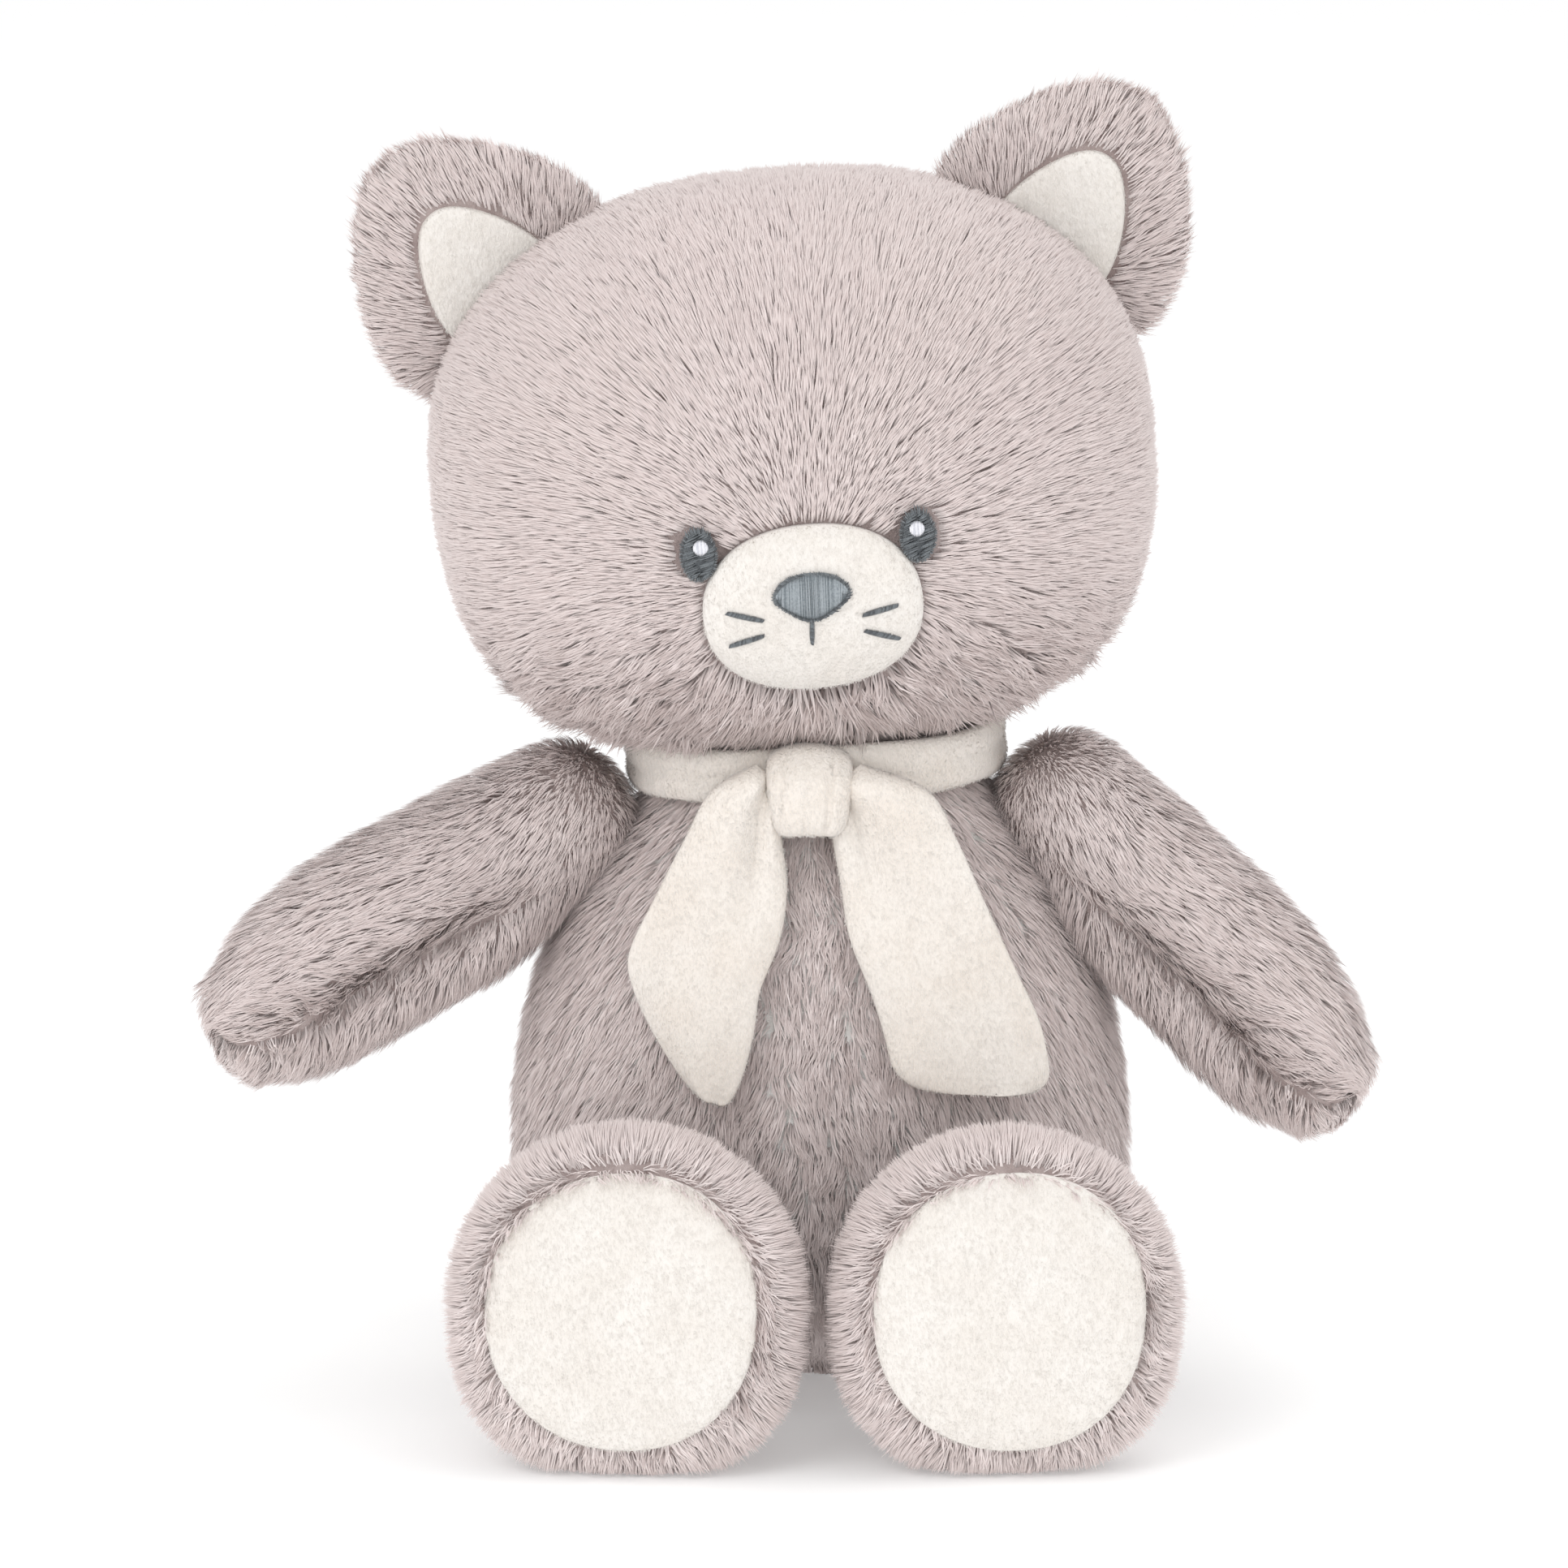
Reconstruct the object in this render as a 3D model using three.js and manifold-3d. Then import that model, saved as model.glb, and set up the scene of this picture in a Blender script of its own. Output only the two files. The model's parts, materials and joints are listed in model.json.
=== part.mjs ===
// Seated plush cat, as it would come apart on a bench: fur shells, fibre filling, patches, embroidery,
// a knotted scarf and sewn-on limbs. Millimetres, +Z up. The cat faces -Y, so its right side is -X.
// The origin is the middle of the flat seat that it rests on.
import * as THREE from "three";
import { ConvexGeometry } from "three/addons/geometries/ConvexGeometry.js";
import { mergeVertices } from "three/addons/utils/BufferGeometryUtils.js";
import Module from "manifold-3d";

const wasm = await Module();
wasm.setup();

// ---- Fabric and fitting ----
const WALL = 2;            // pile fabric of every shell
const GAP = 0.4;           // between a shell and its filling
const SEAM_GAP = 0.4;      // between pieces that are sewn face to face
const SWING_GAP = 0.9;     // between a limb and the body it swings on
const DEG = Math.PI / 180;

// ---- Torso ----
const TORSO_X = 2;         // the body sits a touch off the neck's axis
const TORSO_TOP = 146.5;
const TORSO_ROUND = 2.2;   // exponent of a level section
const NECK_HOLE_R = 21;
// level sections: [height, half width, half depth]
const TORSO_SECTIONS = [
  [0, 40, 30],
  [9, 58.5, 45],
  [28, 69, 52.5],
  [55, 71, 53.5],
  [80, 68.5, 51],
  [100, 62.5, 47],
  [117, 53, 42],
  [131, 42.5, 37],
  [140, 36, 33],
  [TORSO_TOP, 31, 28.5],
];
const SEAT_SWEEP = { top: 30, share: 0.35 }; // below top the underside sweeps up to the front
const FILL_BASE = 37;      // the fibre starts above the pellet pouch
const POUCH = { y: 7, z: 19, halfWidth: 38, halfDepth: 26, halfHeight: 15 };
const NECK_PLUG = { r: 19.5, bottom: 133, top: 167, y: -1 };

// ---- Head ----
const HEAD_AT = [-4.5, -4, 212.8];
const HEAD_ROLL = -4.7 * DEG;     // its left side is held a little higher
const HEAD_TURN = 2.7 * DEG;      // it looks a little to its left
const HEAD = { halfWidth: 81.5, halfDepth: 59, halfHeight: 63.8 };
const HEAD_ROUND = { crown: 2.3, jowl: 2.7, blend: 22 };
const EAR_FLOP_GAP = 2.6;
const LINING_FLOP_GAP = 3.6;

// ---- Face, in the head's frame: x across, z up ----
const MUZZLE = { z: -25, halfWidth: 24.2, halfHeight: 18.5, round: 2.5, height: 3.2 };
const EYE = { x: 24.6, z: -10, halfWidth: 4, halfHeight: 5.5, height: 1.2 };
const GLINT = { x: 24.4, z: -8, r: 1.6, height: 0.7 };
const NOSE = { z: -21, halfWidth: 9, halfHeight: 5.8, height: 1.4 };
const MOUTH = { top: -27.2, length: 5.2, halfWidth: 0.6, height: 0.8 };
const WHISKER = { length: 8, halfWidth: 0.6, height: 0.8 };
const WHISKERS = [
  { name: "upper", x: 15.5, z: -25.4, tilt: 14 },
  { name: "lower", x: 15.8, z: -29.6, tilt: -17 },
];

// ---- Ears, in the head's frame ----
const EAR = { x: 60, y: 8, z: 38, lean: 54 * DEG, halfWidth: 27, low: -16, high: 41, thick: 16, taper: 0.3 };
const EAR_ROUND = 0.9;     // below one squares the ear's outline
const EAR_HEM = 0.4;       // half the thickness of the ear at its edge
const EAR_LINING = { scale: 0.52, lift: 0.3, thick: 2, low: -8, high: 28.5 };

// ---- Limbs: pivot, direction of the limb's axis, stations [distance along it, radius] ----
const ARM_STATIONS = [
  [0, 20.5],
  [22, 20.5],
  [45, 20.5],
  [65, 19.8],
  [78, 17.6],
  [87, 12],
];
const ARM_TIP = 91;
const ARMS = [
  { side: "right", pivot: [-58, -6, 125], along: [-0.87, -0.15, -0.462], hinge: [0, 1, 0], sweep: [-15, 0, 43] },
  { side: "left", pivot: [59, -6, 128], along: [0.727, -0.154, -0.669], hinge: [0, -1, 0], sweep: [0, 29, 58] },
];
const LEG_STATIONS = [
  [0, 28],
  [12, 29.5],
  [24, 34.5],
  [34, 37.3],
  [43, 36],
  [48, 33],
];
const SOLE_AT = 50;
const PAD = { r: 31, thick: 2, crown: 2 };
const LEGS = [
  { side: "right", pivot: [-38, -61, 35], along: [-0.08, -0.994, 0.07] },
  { side: "left", pivot: [40, -61, 35], along: [0.08, -0.994, 0.07] },
];
const LEG_HINGE = [-1, 0, 0];
const LEG_SWEEP = [0, 11, 22];

// ---- Tail ----
const TAIL_R = 11;
const TAIL_PIVOT = [2, 57, 15.5];
const TAIL_ROUTE = [
  TAIL_PIVOT,
  [0, 70, 14.5],
  [-8, 84, 14],
  [-21, 94, 14.5],
  [-36, 98, 16],
];

// ---- Scarf ----
const BAND = { x: 1, z: 144.5, halfWidth: 41, halfDepth: 37.2, halfHeight: 4.9, halfThick: 1.9, roll: -2.5 * DEG };
const KNOT = { x: -0.5, y: -45.8, z: 143, halfWidth: 10.5, halfDepth: 6.4, halfHeight: 10.5, round: 2.8 };
const SCARF_THICK = 3.6;
const SCARF_CLEAR = 4.5;   // from the chest's fabric to the middle of the scarf's tails
// stations down each tail: [middle x, z, half width, rise of the outer edge over the inner one]
const SCARF_TAILS = [
  {
    side: "right",
    stations: [
      [-9, 131, 6.5, 0],
      [-14, 121, 12, 3],
      [-20, 106, 15.5, 6],
      [-25.5, 92, 15, 14],
      [-26.5, 84, 11.5, 16],
    ],
  },
  {
    side: "left",
    stations: [
      [11, 131, 7.5, 0],
      [18, 121, 13, 3],
      [25, 106, 16.5, 3],
      [33, 92, 17.5, 6],
      [37.5, 80.5, 17, 7],
    ],
  },
];

// ---- Care label ----
const LABEL = { x: 14, z: 33, halfWidth: 7, reach: 13, thick: 0.8 };

const FUR = 0xc9bbb8;
const FILLING = 0xf2f0ec;
const CREAM = 0xf7f0e6;
const THREAD = 0x636c73;
const WHITE = 0xfafafa;

function cloth(color, roughness = 0.9) {
  return new THREE.MeshStandardMaterial({ color, roughness, metalness: 0 });
}

function named(name, geometry, color, roughness) {
  const mesh = new THREE.Mesh(geometry, cloth(color, roughness));
  mesh.name = name;
  return mesh;
}

function signedPower(value, power) {
  return Math.sign(value) * Math.abs(value) ** power;
}

// Smooth value at t from rows of [t, a, b, ...], as a Catmull-Rom curve through the rows.
function station(rows, t, column) {
  const last = rows.length - 2;
  let i = 0;
  while (i < last && t > rows[i + 1][0]) {
    i += 1;
  }
  const before = rows[Math.max(i - 1, 0)];
  const from = rows[i];
  const to = rows[i + 1];
  const after = rows[Math.min(i + 2, rows.length - 1)];
  const span = to[0] - from[0];
  const u = Math.min(Math.max((t - from[0]) / span, 0), 1);
  const slopeIn = ((to[column] - before[column]) / (to[0] - before[0])) * span;
  const slopeOut = ((after[column] - from[column]) / (after[0] - from[0])) * span;
  const uu = u * u;
  const uuu = uu * u;
  return (2 * uuu - 3 * uu + 1) * from[column] + (uuu - 2 * uu + u) * slopeIn
    + (3 * uu - 2 * uuu) * to[column] + (uuu - uu) * slopeOut;
}

function signedVolume(positions, index) {
  const a = new THREE.Vector3();
  const b = new THREE.Vector3();
  const c = new THREE.Vector3();
  let sum = 0;
  for (let i = 0; i < index.length; i += 3) {
    a.fromArray(positions, 3 * index[i]);
    b.fromArray(positions, 3 * index[i + 1]);
    c.fromArray(positions, 3 * index[i + 2]);
    sum += a.dot(b.cross(c));
  }
  return sum;
}

// A closed body from rings of points. The two end rings are closed with a fan to their middle.
function bodyOfRings(rings) {
  const count = rings[0].length;
  const positions = [];
  const index = [];
  for (const ring of rings) {
    for (const point of ring) {
      positions.push(point.x, point.y, point.z);
    }
  }
  for (let i = 0; i + 1 < rings.length; i += 1) {
    for (let j = 0; j < count; j += 1) {
      const k = (j + 1) % count;
      const a = i * count + j;
      const b = i * count + k;
      const c = a + count;
      const d = b + count;
      index.push(a, b, d, a, d, c);
    }
  }
  const ends = [[0, false], [rings.length - 1, true]];
  for (const [row, flip] of ends) {
    const middle = new THREE.Vector3();
    rings[row].forEach((point) => middle.add(point));
    middle.divideScalar(count);
    const pole = positions.length / 3;
    positions.push(middle.x, middle.y, middle.z);
    for (let j = 0; j < count; j += 1) {
      const a = row * count + j;
      const b = row * count + ((j + 1) % count);
      index.push(...(flip ? [a, b, pole] : [b, a, pole]));
    }
  }
  if (signedVolume(positions, index) < 0) {
    index.reverse();
  }
  const geometry = new THREE.BufferGeometry();
  geometry.setAttribute("position", new THREE.Float32BufferAttribute(positions, 3));
  geometry.setIndex(index);
  return geometry;
}

function toSolid(geometry) {
  const bare = geometry.clone();
  bare.deleteAttribute("normal");
  bare.deleteAttribute("uv");
  const merged = mergeVertices(bare, 1e-4);
  return new wasm.Manifold(new wasm.Mesh({
    numProp: 3,
    vertProperties: new Float32Array(merged.attributes.position.array),
    triVerts: new Uint32Array(merged.index.array),
  }));
}

function toGeometry(solid) {
  const mesh = solid.getMesh();
  const geometry = new THREE.BufferGeometry();
  geometry.setAttribute("position", new THREE.BufferAttribute(new Float32Array(mesh.vertProperties), 3));
  geometry.setIndex(new THREE.BufferAttribute(new Uint32Array(mesh.triVerts), 1));
  return geometry;
}

function cut(geometry, tools) {
  const solid = tools.reduce((left, tool) => left.subtract(toSolid(tool)), toSolid(geometry));
  return toGeometry(solid);
}

// ---- Torso ----

// A level section of the torso as a superellipse, drawn in by inset.
function frontShare(z) {
  const t = Math.min(Math.max(z / SEAT_SWEEP.top, 0), 1);
  return SEAT_SWEEP.share + (1 - SEAT_SWEEP.share) * t * t * (3 - 2 * t);
}

function torsoRing(z, inset, count) {
  const halfWidth = station(TORSO_SECTIONS, z, 1) - inset;
  const halfDepth = station(TORSO_SECTIONS, z, 2) - inset;
  return Array.from({ length: count }, (_, j) => {
    const angle = (2 * Math.PI * j) / count;
    const x = halfWidth * signedPower(Math.cos(angle), 2 / TORSO_ROUND);
    const reach = Math.sin(angle) < 0 ? frontShare(z) : 1;
    const y = halfDepth * reach * signedPower(Math.sin(angle), 2 / TORSO_ROUND);
    return new THREE.Vector3(TORSO_X + x, y, z);
  });
}

function torsoBody(inset, rows = 10, count = 22) {
  const height = TORSO_TOP - 2 * inset;
  const rings = Array.from({ length: rows + 1 }, (_, i) => {
    const t = (1 - Math.cos((Math.PI * i) / rows)) / 2;
    return torsoRing(inset + height * t, inset, count);
  });
  return bodyOfRings(rings);
}

// How far forward the chest's fabric stands at x and z.
function chestY(x, z) {
  const halfWidth = station(TORSO_SECTIONS, z, 1);
  const halfDepth = station(TORSO_SECTIONS, z, 2);
  const across = Math.min(Math.abs((x - TORSO_X) / halfWidth), 0.98);
  return -halfDepth * (1 - across ** TORSO_ROUND) ** (1 / TORSO_ROUND);
}

function neckCylinder(r, bottom, top) {
  const geometry = new THREE.CylinderGeometry(r, r, top - bottom, 28);
  geometry.rotateX(Math.PI / 2);
  geometry.translate(0, NECK_PLUG.y, (top + bottom) / 2);
  return geometry;
}

function ellipsoid(at, halves, count = 16, rows = 7, round = 2) {
  const rings = Array.from({ length: rows + 1 }, (_, i) => {
    const rise = -Math.cos((Math.PI * (i + 0.35)) / (rows + 0.7));
    const level = signedPower(rise, 2 / round);
    const spread = Math.max(1 - rise * rise, 0) ** (1 / round);
    return Array.from({ length: count }, (_, j) => {
      const angle = (2 * Math.PI * j) / count;
      return new THREE.Vector3(
        at[0] + halves[0] * spread * signedPower(Math.cos(angle), 2 / round),
        at[1] + halves[1] * spread * signedPower(Math.sin(angle), 2 / round),
        at[2] + halves[2] * level,
      );
    });
  });
  return bodyOfRings(rings);
}

// ---- Limbs ----

function limbFrame(limb) {
  const along = new THREE.Vector3(...limb.along).normalize();
  const turn = new THREE.Quaternion().setFromUnitVectors(new THREE.Vector3(0, 0, 1), along);
  return new THREE.Matrix4().compose(new THREE.Vector3(...limb.pivot), turn, new THREE.Vector3(1, 1, 1));
}

// A limb in its own frame: a ball round the pivot, then round sections out to the tip.
function limbBody(stations, tip, inset, count = 14) {
  const root = stations[0][1] - inset;
  const rings = [];
  const ballRows = 3;
  for (let i = 0; i < ballRows; i += 1) {
    const angle = (Math.PI / 2) * ((i + 0.4) / (ballRows + 0.4));
    rings.push({ s: -root * Math.cos(angle), r: root * Math.sin(angle) });
  }
  stations.forEach(([s, r]) => rings.push({ s, r: r - inset }));
  const end = stations[stations.length - 1];
  if (tip > end[0]) {
    rings.push({ s: tip - inset, r: (end[1] - inset) * 0.45 });
  }
  const points = rings.map(({ s, r }) => Array.from({ length: count }, (_, j) => {
    const angle = (2 * Math.PI * j) / count;
    return new THREE.Vector3(r * Math.cos(angle), r * Math.sin(angle), s);
  }));
  return bodyOfRings(points);
}

// Soft limbs flatten on the surface that they lie on.
function flattenBelow(geometry, level) {
  const position = geometry.attributes.position;
  for (let i = 0; i < position.count; i += 1) {
    position.setZ(i, Math.max(position.getZ(i), level));
  }
  return geometry;
}

function swung(geometry, limb, hinge, degrees) {
  const turn = new THREE.Matrix4().makeRotationAxis(new THREE.Vector3(...hinge), degrees * DEG);
  const pivot = new THREE.Vector3(...limb.pivot);
  const matrix = new THREE.Matrix4().makeTranslation(pivot)
    .multiply(turn)
    .multiply(new THREE.Matrix4().makeTranslation(pivot.clone().negate()));
  return geometry.clone().applyMatrix4(matrix);
}

function armBody(arm, inset) {
  return limbBody(ARM_STATIONS, ARM_TIP, inset).applyMatrix4(limbFrame(arm));
}

// The leg's end is square, because the sole's pad closes it.
function legBody(leg, inset, beyond = 0) {
  const stations = LEG_STATIONS.concat([[SOLE_AT + beyond, PAD.r + 0.5]]);
  const body = limbBody(stations, 0, inset);
  return flattenBelow(body.applyMatrix4(limbFrame(leg)), inset);
}

function tailBody(inset) {
  const curve = new THREE.CatmullRomCurve3(TAIL_ROUTE.map((point) => new THREE.Vector3(...point)));
  const steps = 8;
  const count = 10;
  const r = TAIL_R - inset;
  const frames = curve.computeFrenetFrames(steps, false);
  const ring = (at, frame, radius) => Array.from({ length: count }, (_, j) => {
    const angle = (2 * Math.PI * j) / count;
    return at.clone()
      .addScaledVector(frames.normals[frame], radius * Math.cos(angle))
      .addScaledVector(frames.binormals[frame], radius * Math.sin(angle));
  });
  const rings = [];
  for (const angle of [0.25, 0.75, 1.2]) {
    const at = curve.getPointAt(0).addScaledVector(frames.tangents[0], -r * Math.cos(angle));
    rings.push(ring(at, 0, r * Math.sin(angle)));
  }
  for (let i = 0; i <= steps; i += 1) {
    rings.push(ring(curve.getPointAt(i / steps), i, r));
  }
  for (const angle of [0.5, 1.0, 1.35]) {
    const at = curve.getPointAt(1).addScaledVector(frames.tangents[steps], r * Math.sin(angle));
    rings.push(ring(at, steps, r * Math.cos(angle)));
  }
  return bodyOfRings(rings);
}

// The convex room that a limb takes as it swings through some angles.
function swingRoom(body, limb, hinge, angles) {
  const points = [];
  for (const angle of angles) {
    const position = swung(body, limb, hinge, angle).attributes.position;
    for (let i = 0; i < position.count; i += 1) {
      points.push(new THREE.Vector3().fromBufferAttribute(position, i));
    }
  }
  return new ConvexGeometry(points);
}

// What the limbs need free round them as they swing, grown by room.
function limbRooms(room) {
  const arms = ARMS.map((arm) => swingRoom(armBody(arm, -room), arm, arm.hinge, arm.sweep));
  const legs = LEGS.map((leg) => swingRoom(legBody(leg, -room), leg, LEG_HINGE, LEG_SWEEP));
  const tail = ellipsoid(TAIL_PIVOT, Array(3).fill(TAIL_R + room), 14, 7);
  return [...arms, ...legs, tail];
}

function torsoParts() {
  const shellCavity = cut(torsoBody(WALL), limbRooms(SWING_GAP + WALL));
  const opening = neckCylinder(NECK_HOLE_R, TORSO_TOP - 8, TORSO_TOP + 5);
  const outside = cut(torsoBody(0), limbRooms(SWING_GAP));
  const shell = cut(outside, [shellCavity, opening]);
  const pouchRoom = new THREE.BoxGeometry(200, 200, FILL_BASE);
  pouchRoom.translate(0, 0, FILL_BASE / 2);
  const filling = cut(torsoBody(WALL + GAP), [
    pouchRoom,
    ...limbRooms(SWING_GAP + WALL + GAP),
    neckCylinder(NECK_PLUG.r + GAP, NECK_PLUG.bottom - GAP, TORSO_TOP + 5),
  ]);
  const pouch = ellipsoid([TORSO_X, POUCH.y, POUCH.z], [POUCH.halfWidth, POUCH.halfDepth, POUCH.halfHeight]);
  const plug = neckCylinder(NECK_PLUG.r, NECK_PLUG.bottom, NECK_PLUG.top);
  return [
    named("torso_shell", shell, FUR),
    named("torso_stuffing", filling, FILLING),
    named("pellet_bag", pouch, FILLING),
    named("neck_stuffing", plug, FILLING),
  ];
}

function armParts(arm) {
  const root = new THREE.CylinderGeometry(9, 9, 16, 16);
  root.rotateX(Math.PI / 2);
  root.translate(0, 0, -ARM_STATIONS[0][1]);
  root.applyMatrix4(limbFrame(arm));
  const shell = cut(armBody(arm, 0), [armBody(arm, WALL), root]);
  return [
    named(`${arm.side}_arm_shell`, shell, FUR),
    named(`${arm.side}_arm_stuffing`, armBody(arm, WALL + GAP), FILLING),
  ];
}

function padBody(leg) {
  const rows = [
    [0, PAD.r - 1],
    [PAD.thick * 0.5, PAD.r],
    [PAD.thick, PAD.r - 1],
    [PAD.thick + PAD.crown * 0.6, PAD.r * 0.7],
    [PAD.thick + PAD.crown, PAD.r * 0.3],
  ];
  const rings = rows.map(([s, r]) => Array.from({ length: 24 }, (_, j) => {
    const angle = (2 * Math.PI * j) / 24;
    return new THREE.Vector3(r * Math.cos(angle), r * Math.sin(angle), SOLE_AT + SEAM_GAP + s);
  }));
  return bodyOfRings(rings).applyMatrix4(limbFrame(leg));
}

function legParts(leg) {
  const shell = cut(legBody(leg, 0), [legBody(leg, WALL, 4)]);
  return [
    named(`${leg.side}_leg_shell`, shell, FUR),
    named(`${leg.side}_leg_stuffing`, legBody(leg, WALL + GAP), FILLING),
    named(`${leg.side}_foot_pad`, padBody(leg), CREAM),
  ];
}

function tailParts() {
  const root = ellipsoid([TAIL_PIVOT[0], TAIL_PIVOT[1] - TAIL_R, TAIL_PIVOT[2]], [5, 5, 5], 12, 6);
  const shell = cut(tailBody(0), [tailBody(WALL), root]);
  return [named("tail_shell", shell, FUR), named("tail_stuffing", tailBody(WALL + GAP), FILLING)];
}

// ---- Head ----

function headRound(z) {
  const { crown, jowl, blend } = HEAD_ROUND;
  return (crown + jowl) / 2 + ((crown - jowl) / 2) * Math.tanh(z / blend);
}

// The head is a superellipsoid whose roundness changes from crown to jowls.
function headBody(inset, rows = 11, count = 22) {
  const rings = Array.from({ length: rows + 1 }, (_, i) => {
    const rise = -Math.cos((Math.PI * (i + 0.3)) / (rows + 0.6));
    const halfHeight = HEAD.halfHeight - inset;
    const n = headRound(rise * halfHeight);
    const spread = (1 - Math.abs(rise) ** n) ** (1 / n);
    return Array.from({ length: count }, (_, j) => {
      const angle = (2 * Math.PI * j) / count;
      return new THREE.Vector3(
        (HEAD.halfWidth - inset) * spread * signedPower(Math.cos(angle), 2 / n),
        (HEAD.halfDepth - inset) * spread * signedPower(Math.sin(angle), 2 / n),
        rise * halfHeight,
      );
    });
  });
  return bodyOfRings(rings);
}

// The front of the head's fabric at x and z, in the head's frame.
function faceY(x, z) {
  const n = headRound(z);
  const rest = 1 - Math.abs(x / HEAD.halfWidth) ** n - Math.abs(z / HEAD.halfHeight) ** n;
  return -HEAD.halfDepth * Math.max(rest, 0) ** (1 / n);
}

// A thin patch lying on a front surface: outline(angle) gives its edge about (x, z), y(x, z) the surface.
function patch({ x, z, outline, surface, lift, thick, crown = 0, count = 16, rows = 2 }) {
  const layer = (fraction, height) => Array.from({ length: count }, (_, j) => {
    const [u, w] = outline((2 * Math.PI * j) / count);
    const px = x + u * fraction;
    const pz = z + w * fraction;
    return new THREE.Vector3(px, surface(px, pz) - height, pz);
  });
  const rings = [];
  for (let i = 1; i <= rows; i += 1) {
    rings.push(layer(i / rows, lift));
  }
  for (let i = rows; i >= 1; i -= 1) {
    const edge = (i / rows) ** 2.5;
    rings.push(layer((i / rows) * 0.985, lift + thick + crown * (1 - edge)));
  }
  return bodyOfRings(rings);
}

function ovalOutline(halfWidth, halfHeight, round = 2) {
  return (angle) => [
    halfWidth * signedPower(Math.cos(angle), 2 / round),
    halfHeight * signedPower(Math.sin(angle), 2 / round),
  ];
}

// A round-cornered triangle standing on its point.
function noseOutline(halfWidth, halfHeight) {
  return (angle) => {
    const up = Math.sin(angle);
    const width = halfWidth * (0.66 + 0.34 * up);
    return [width * signedPower(Math.cos(angle), 0.8), halfHeight * up];
  };
}

function stitchOutline(length, halfWidth, tilt) {
  const turn = tilt * DEG;
  return (angle) => {
    const u = (length / 2) * signedPower(Math.cos(angle), 0.6);
    const w = halfWidth * signedPower(Math.sin(angle), 0.6);
    return [u * Math.cos(turn) - w * Math.sin(turn), u * Math.sin(turn) + w * Math.cos(turn)];
  };
}

const MUZZLE_EDGE = 1.4;

// The top of the muzzle patch, which the nose and the stitches lie on.
function muzzleY(x, z) {
  const across = Math.abs(x / MUZZLE.halfWidth) ** MUZZLE.round
    + Math.abs((z - MUZZLE.z) / MUZZLE.halfHeight) ** MUZZLE.round;
  const crown = (MUZZLE.height - MUZZLE_EDGE) * Math.max(1 - across, 0);
  return faceY(x, z) - FACE_LIFT - MUZZLE_EDGE - crown;
}

const FACE_LIFT = 1.1;

function muzzlePart() {
  const geometry = patch({
    x: 0,
    z: MUZZLE.z,
    outline: ovalOutline(MUZZLE.halfWidth, MUZZLE.halfHeight, MUZZLE.round),
    surface: faceY,
    lift: FACE_LIFT,
    thick: MUZZLE_EDGE,
    crown: MUZZLE.height - MUZZLE_EDGE,
    count: 24,
    rows: 4,
  });
  return named("muzzle_patch", geometry, CREAM);
}

function eyeParts(side, sign) {
  const eye = patch({
    x: sign * EYE.x,
    z: EYE.z,
    outline: ovalOutline(EYE.halfWidth, EYE.halfHeight),
    surface: faceY,
    lift: FACE_LIFT,
    thick: EYE.height,
  });
  const glint = patch({
    x: sign * EYE.x + GLINT.x - EYE.x,
    z: GLINT.z,
    outline: ovalOutline(GLINT.r, GLINT.r),
    surface: faceY,
    lift: FACE_LIFT + EYE.height + SEAM_GAP,
    thick: GLINT.height,
    count: 12,
  });
  return [named(`${side}_eye`, eye, THREAD), named(`${side}_eye_glint`, glint, WHITE)];
}

function muzzleStitch(name, x, z, outline, height, rows) {
  const geometry = patch({ x, z, outline, surface: muzzleY, lift: 0.5, thick: height, rows });
  return named(name, geometry, THREAD, 0.6);
}

function whiskerParts(side, sign) {
  return WHISKERS.map(({ name, x, z, tilt }) => {
    const outline = stitchOutline(WHISKER.length, WHISKER.halfWidth, sign * tilt);
    return muzzleStitch(`${side}_whisker_${name}`, sign * x, z, outline, WHISKER.height, 1);
  });
}

// ---- Ears: u runs across the ear, h from its base to its tip, both in the plane that faces forward ----

function earFrame(sign) {
  const up = new THREE.Vector3(sign * Math.cos(EAR.lean), 0, Math.sin(EAR.lean));
  const across = new THREE.Vector3(Math.sin(EAR.lean), 0, -sign * Math.cos(EAR.lean));
  const front = new THREE.Vector3(0, -1, 0);
  const matrix = new THREE.Matrix4().makeBasis(across, up, front);
  matrix.setPosition(sign * EAR.x, EAR.y, EAR.z);
  return matrix;
}

function earEdge(angle, low, high, halfWidth) {
  const up = Math.sin(angle);
  const u = halfWidth * signedPower(Math.cos(angle), EAR_ROUND) * (1 - EAR.taper * up);
  return [u, (low + high) / 2 + ((high - low) / 2) * up];
}

function earFace(u, h) {
  const middle = (EAR.low + EAR.high) / 2;
  const rise = (h - middle) / ((EAR.high - EAR.low) / 2);
  const side = u / (EAR.halfWidth * (1 - EAR.taper * rise));
  const fullness = Math.max(1 - side * side - rise * rise, 0);
  return (EAR.thick / 2) * fullness ** 0.42;
}

function earBody(sign, halfSheet) {
  const count = 22;
  const rows = 4;
  const middle = (EAR.low + EAR.high) / 2;
  const layer = (fraction, facing) => Array.from({ length: count }, (_, j) => {
    const [u, h] = earEdge((2 * Math.PI * j) / count, EAR.low, EAR.high, EAR.halfWidth);
    const pu = u * fraction;
    const ph = middle + (h - middle) * fraction;
    return new THREE.Vector3(pu, ph, facing * (earFace(pu, ph) + halfSheet));
  });
  const rings = [];
  for (let i = 0; i < rows; i += 1) {
    rings.push(layer(Math.sin(((i + 0.4) / rows) * (Math.PI / 2)), -1));
  }
  rings.push(layer(1, 0));
  for (let i = rows - 1; i >= 0; i -= 1) {
    rings.push(layer(Math.sin(((i + 0.4) / rows) * (Math.PI / 2)), 1));
  }
  return bodyOfRings(rings).applyMatrix4(earFrame(sign));
}

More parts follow.
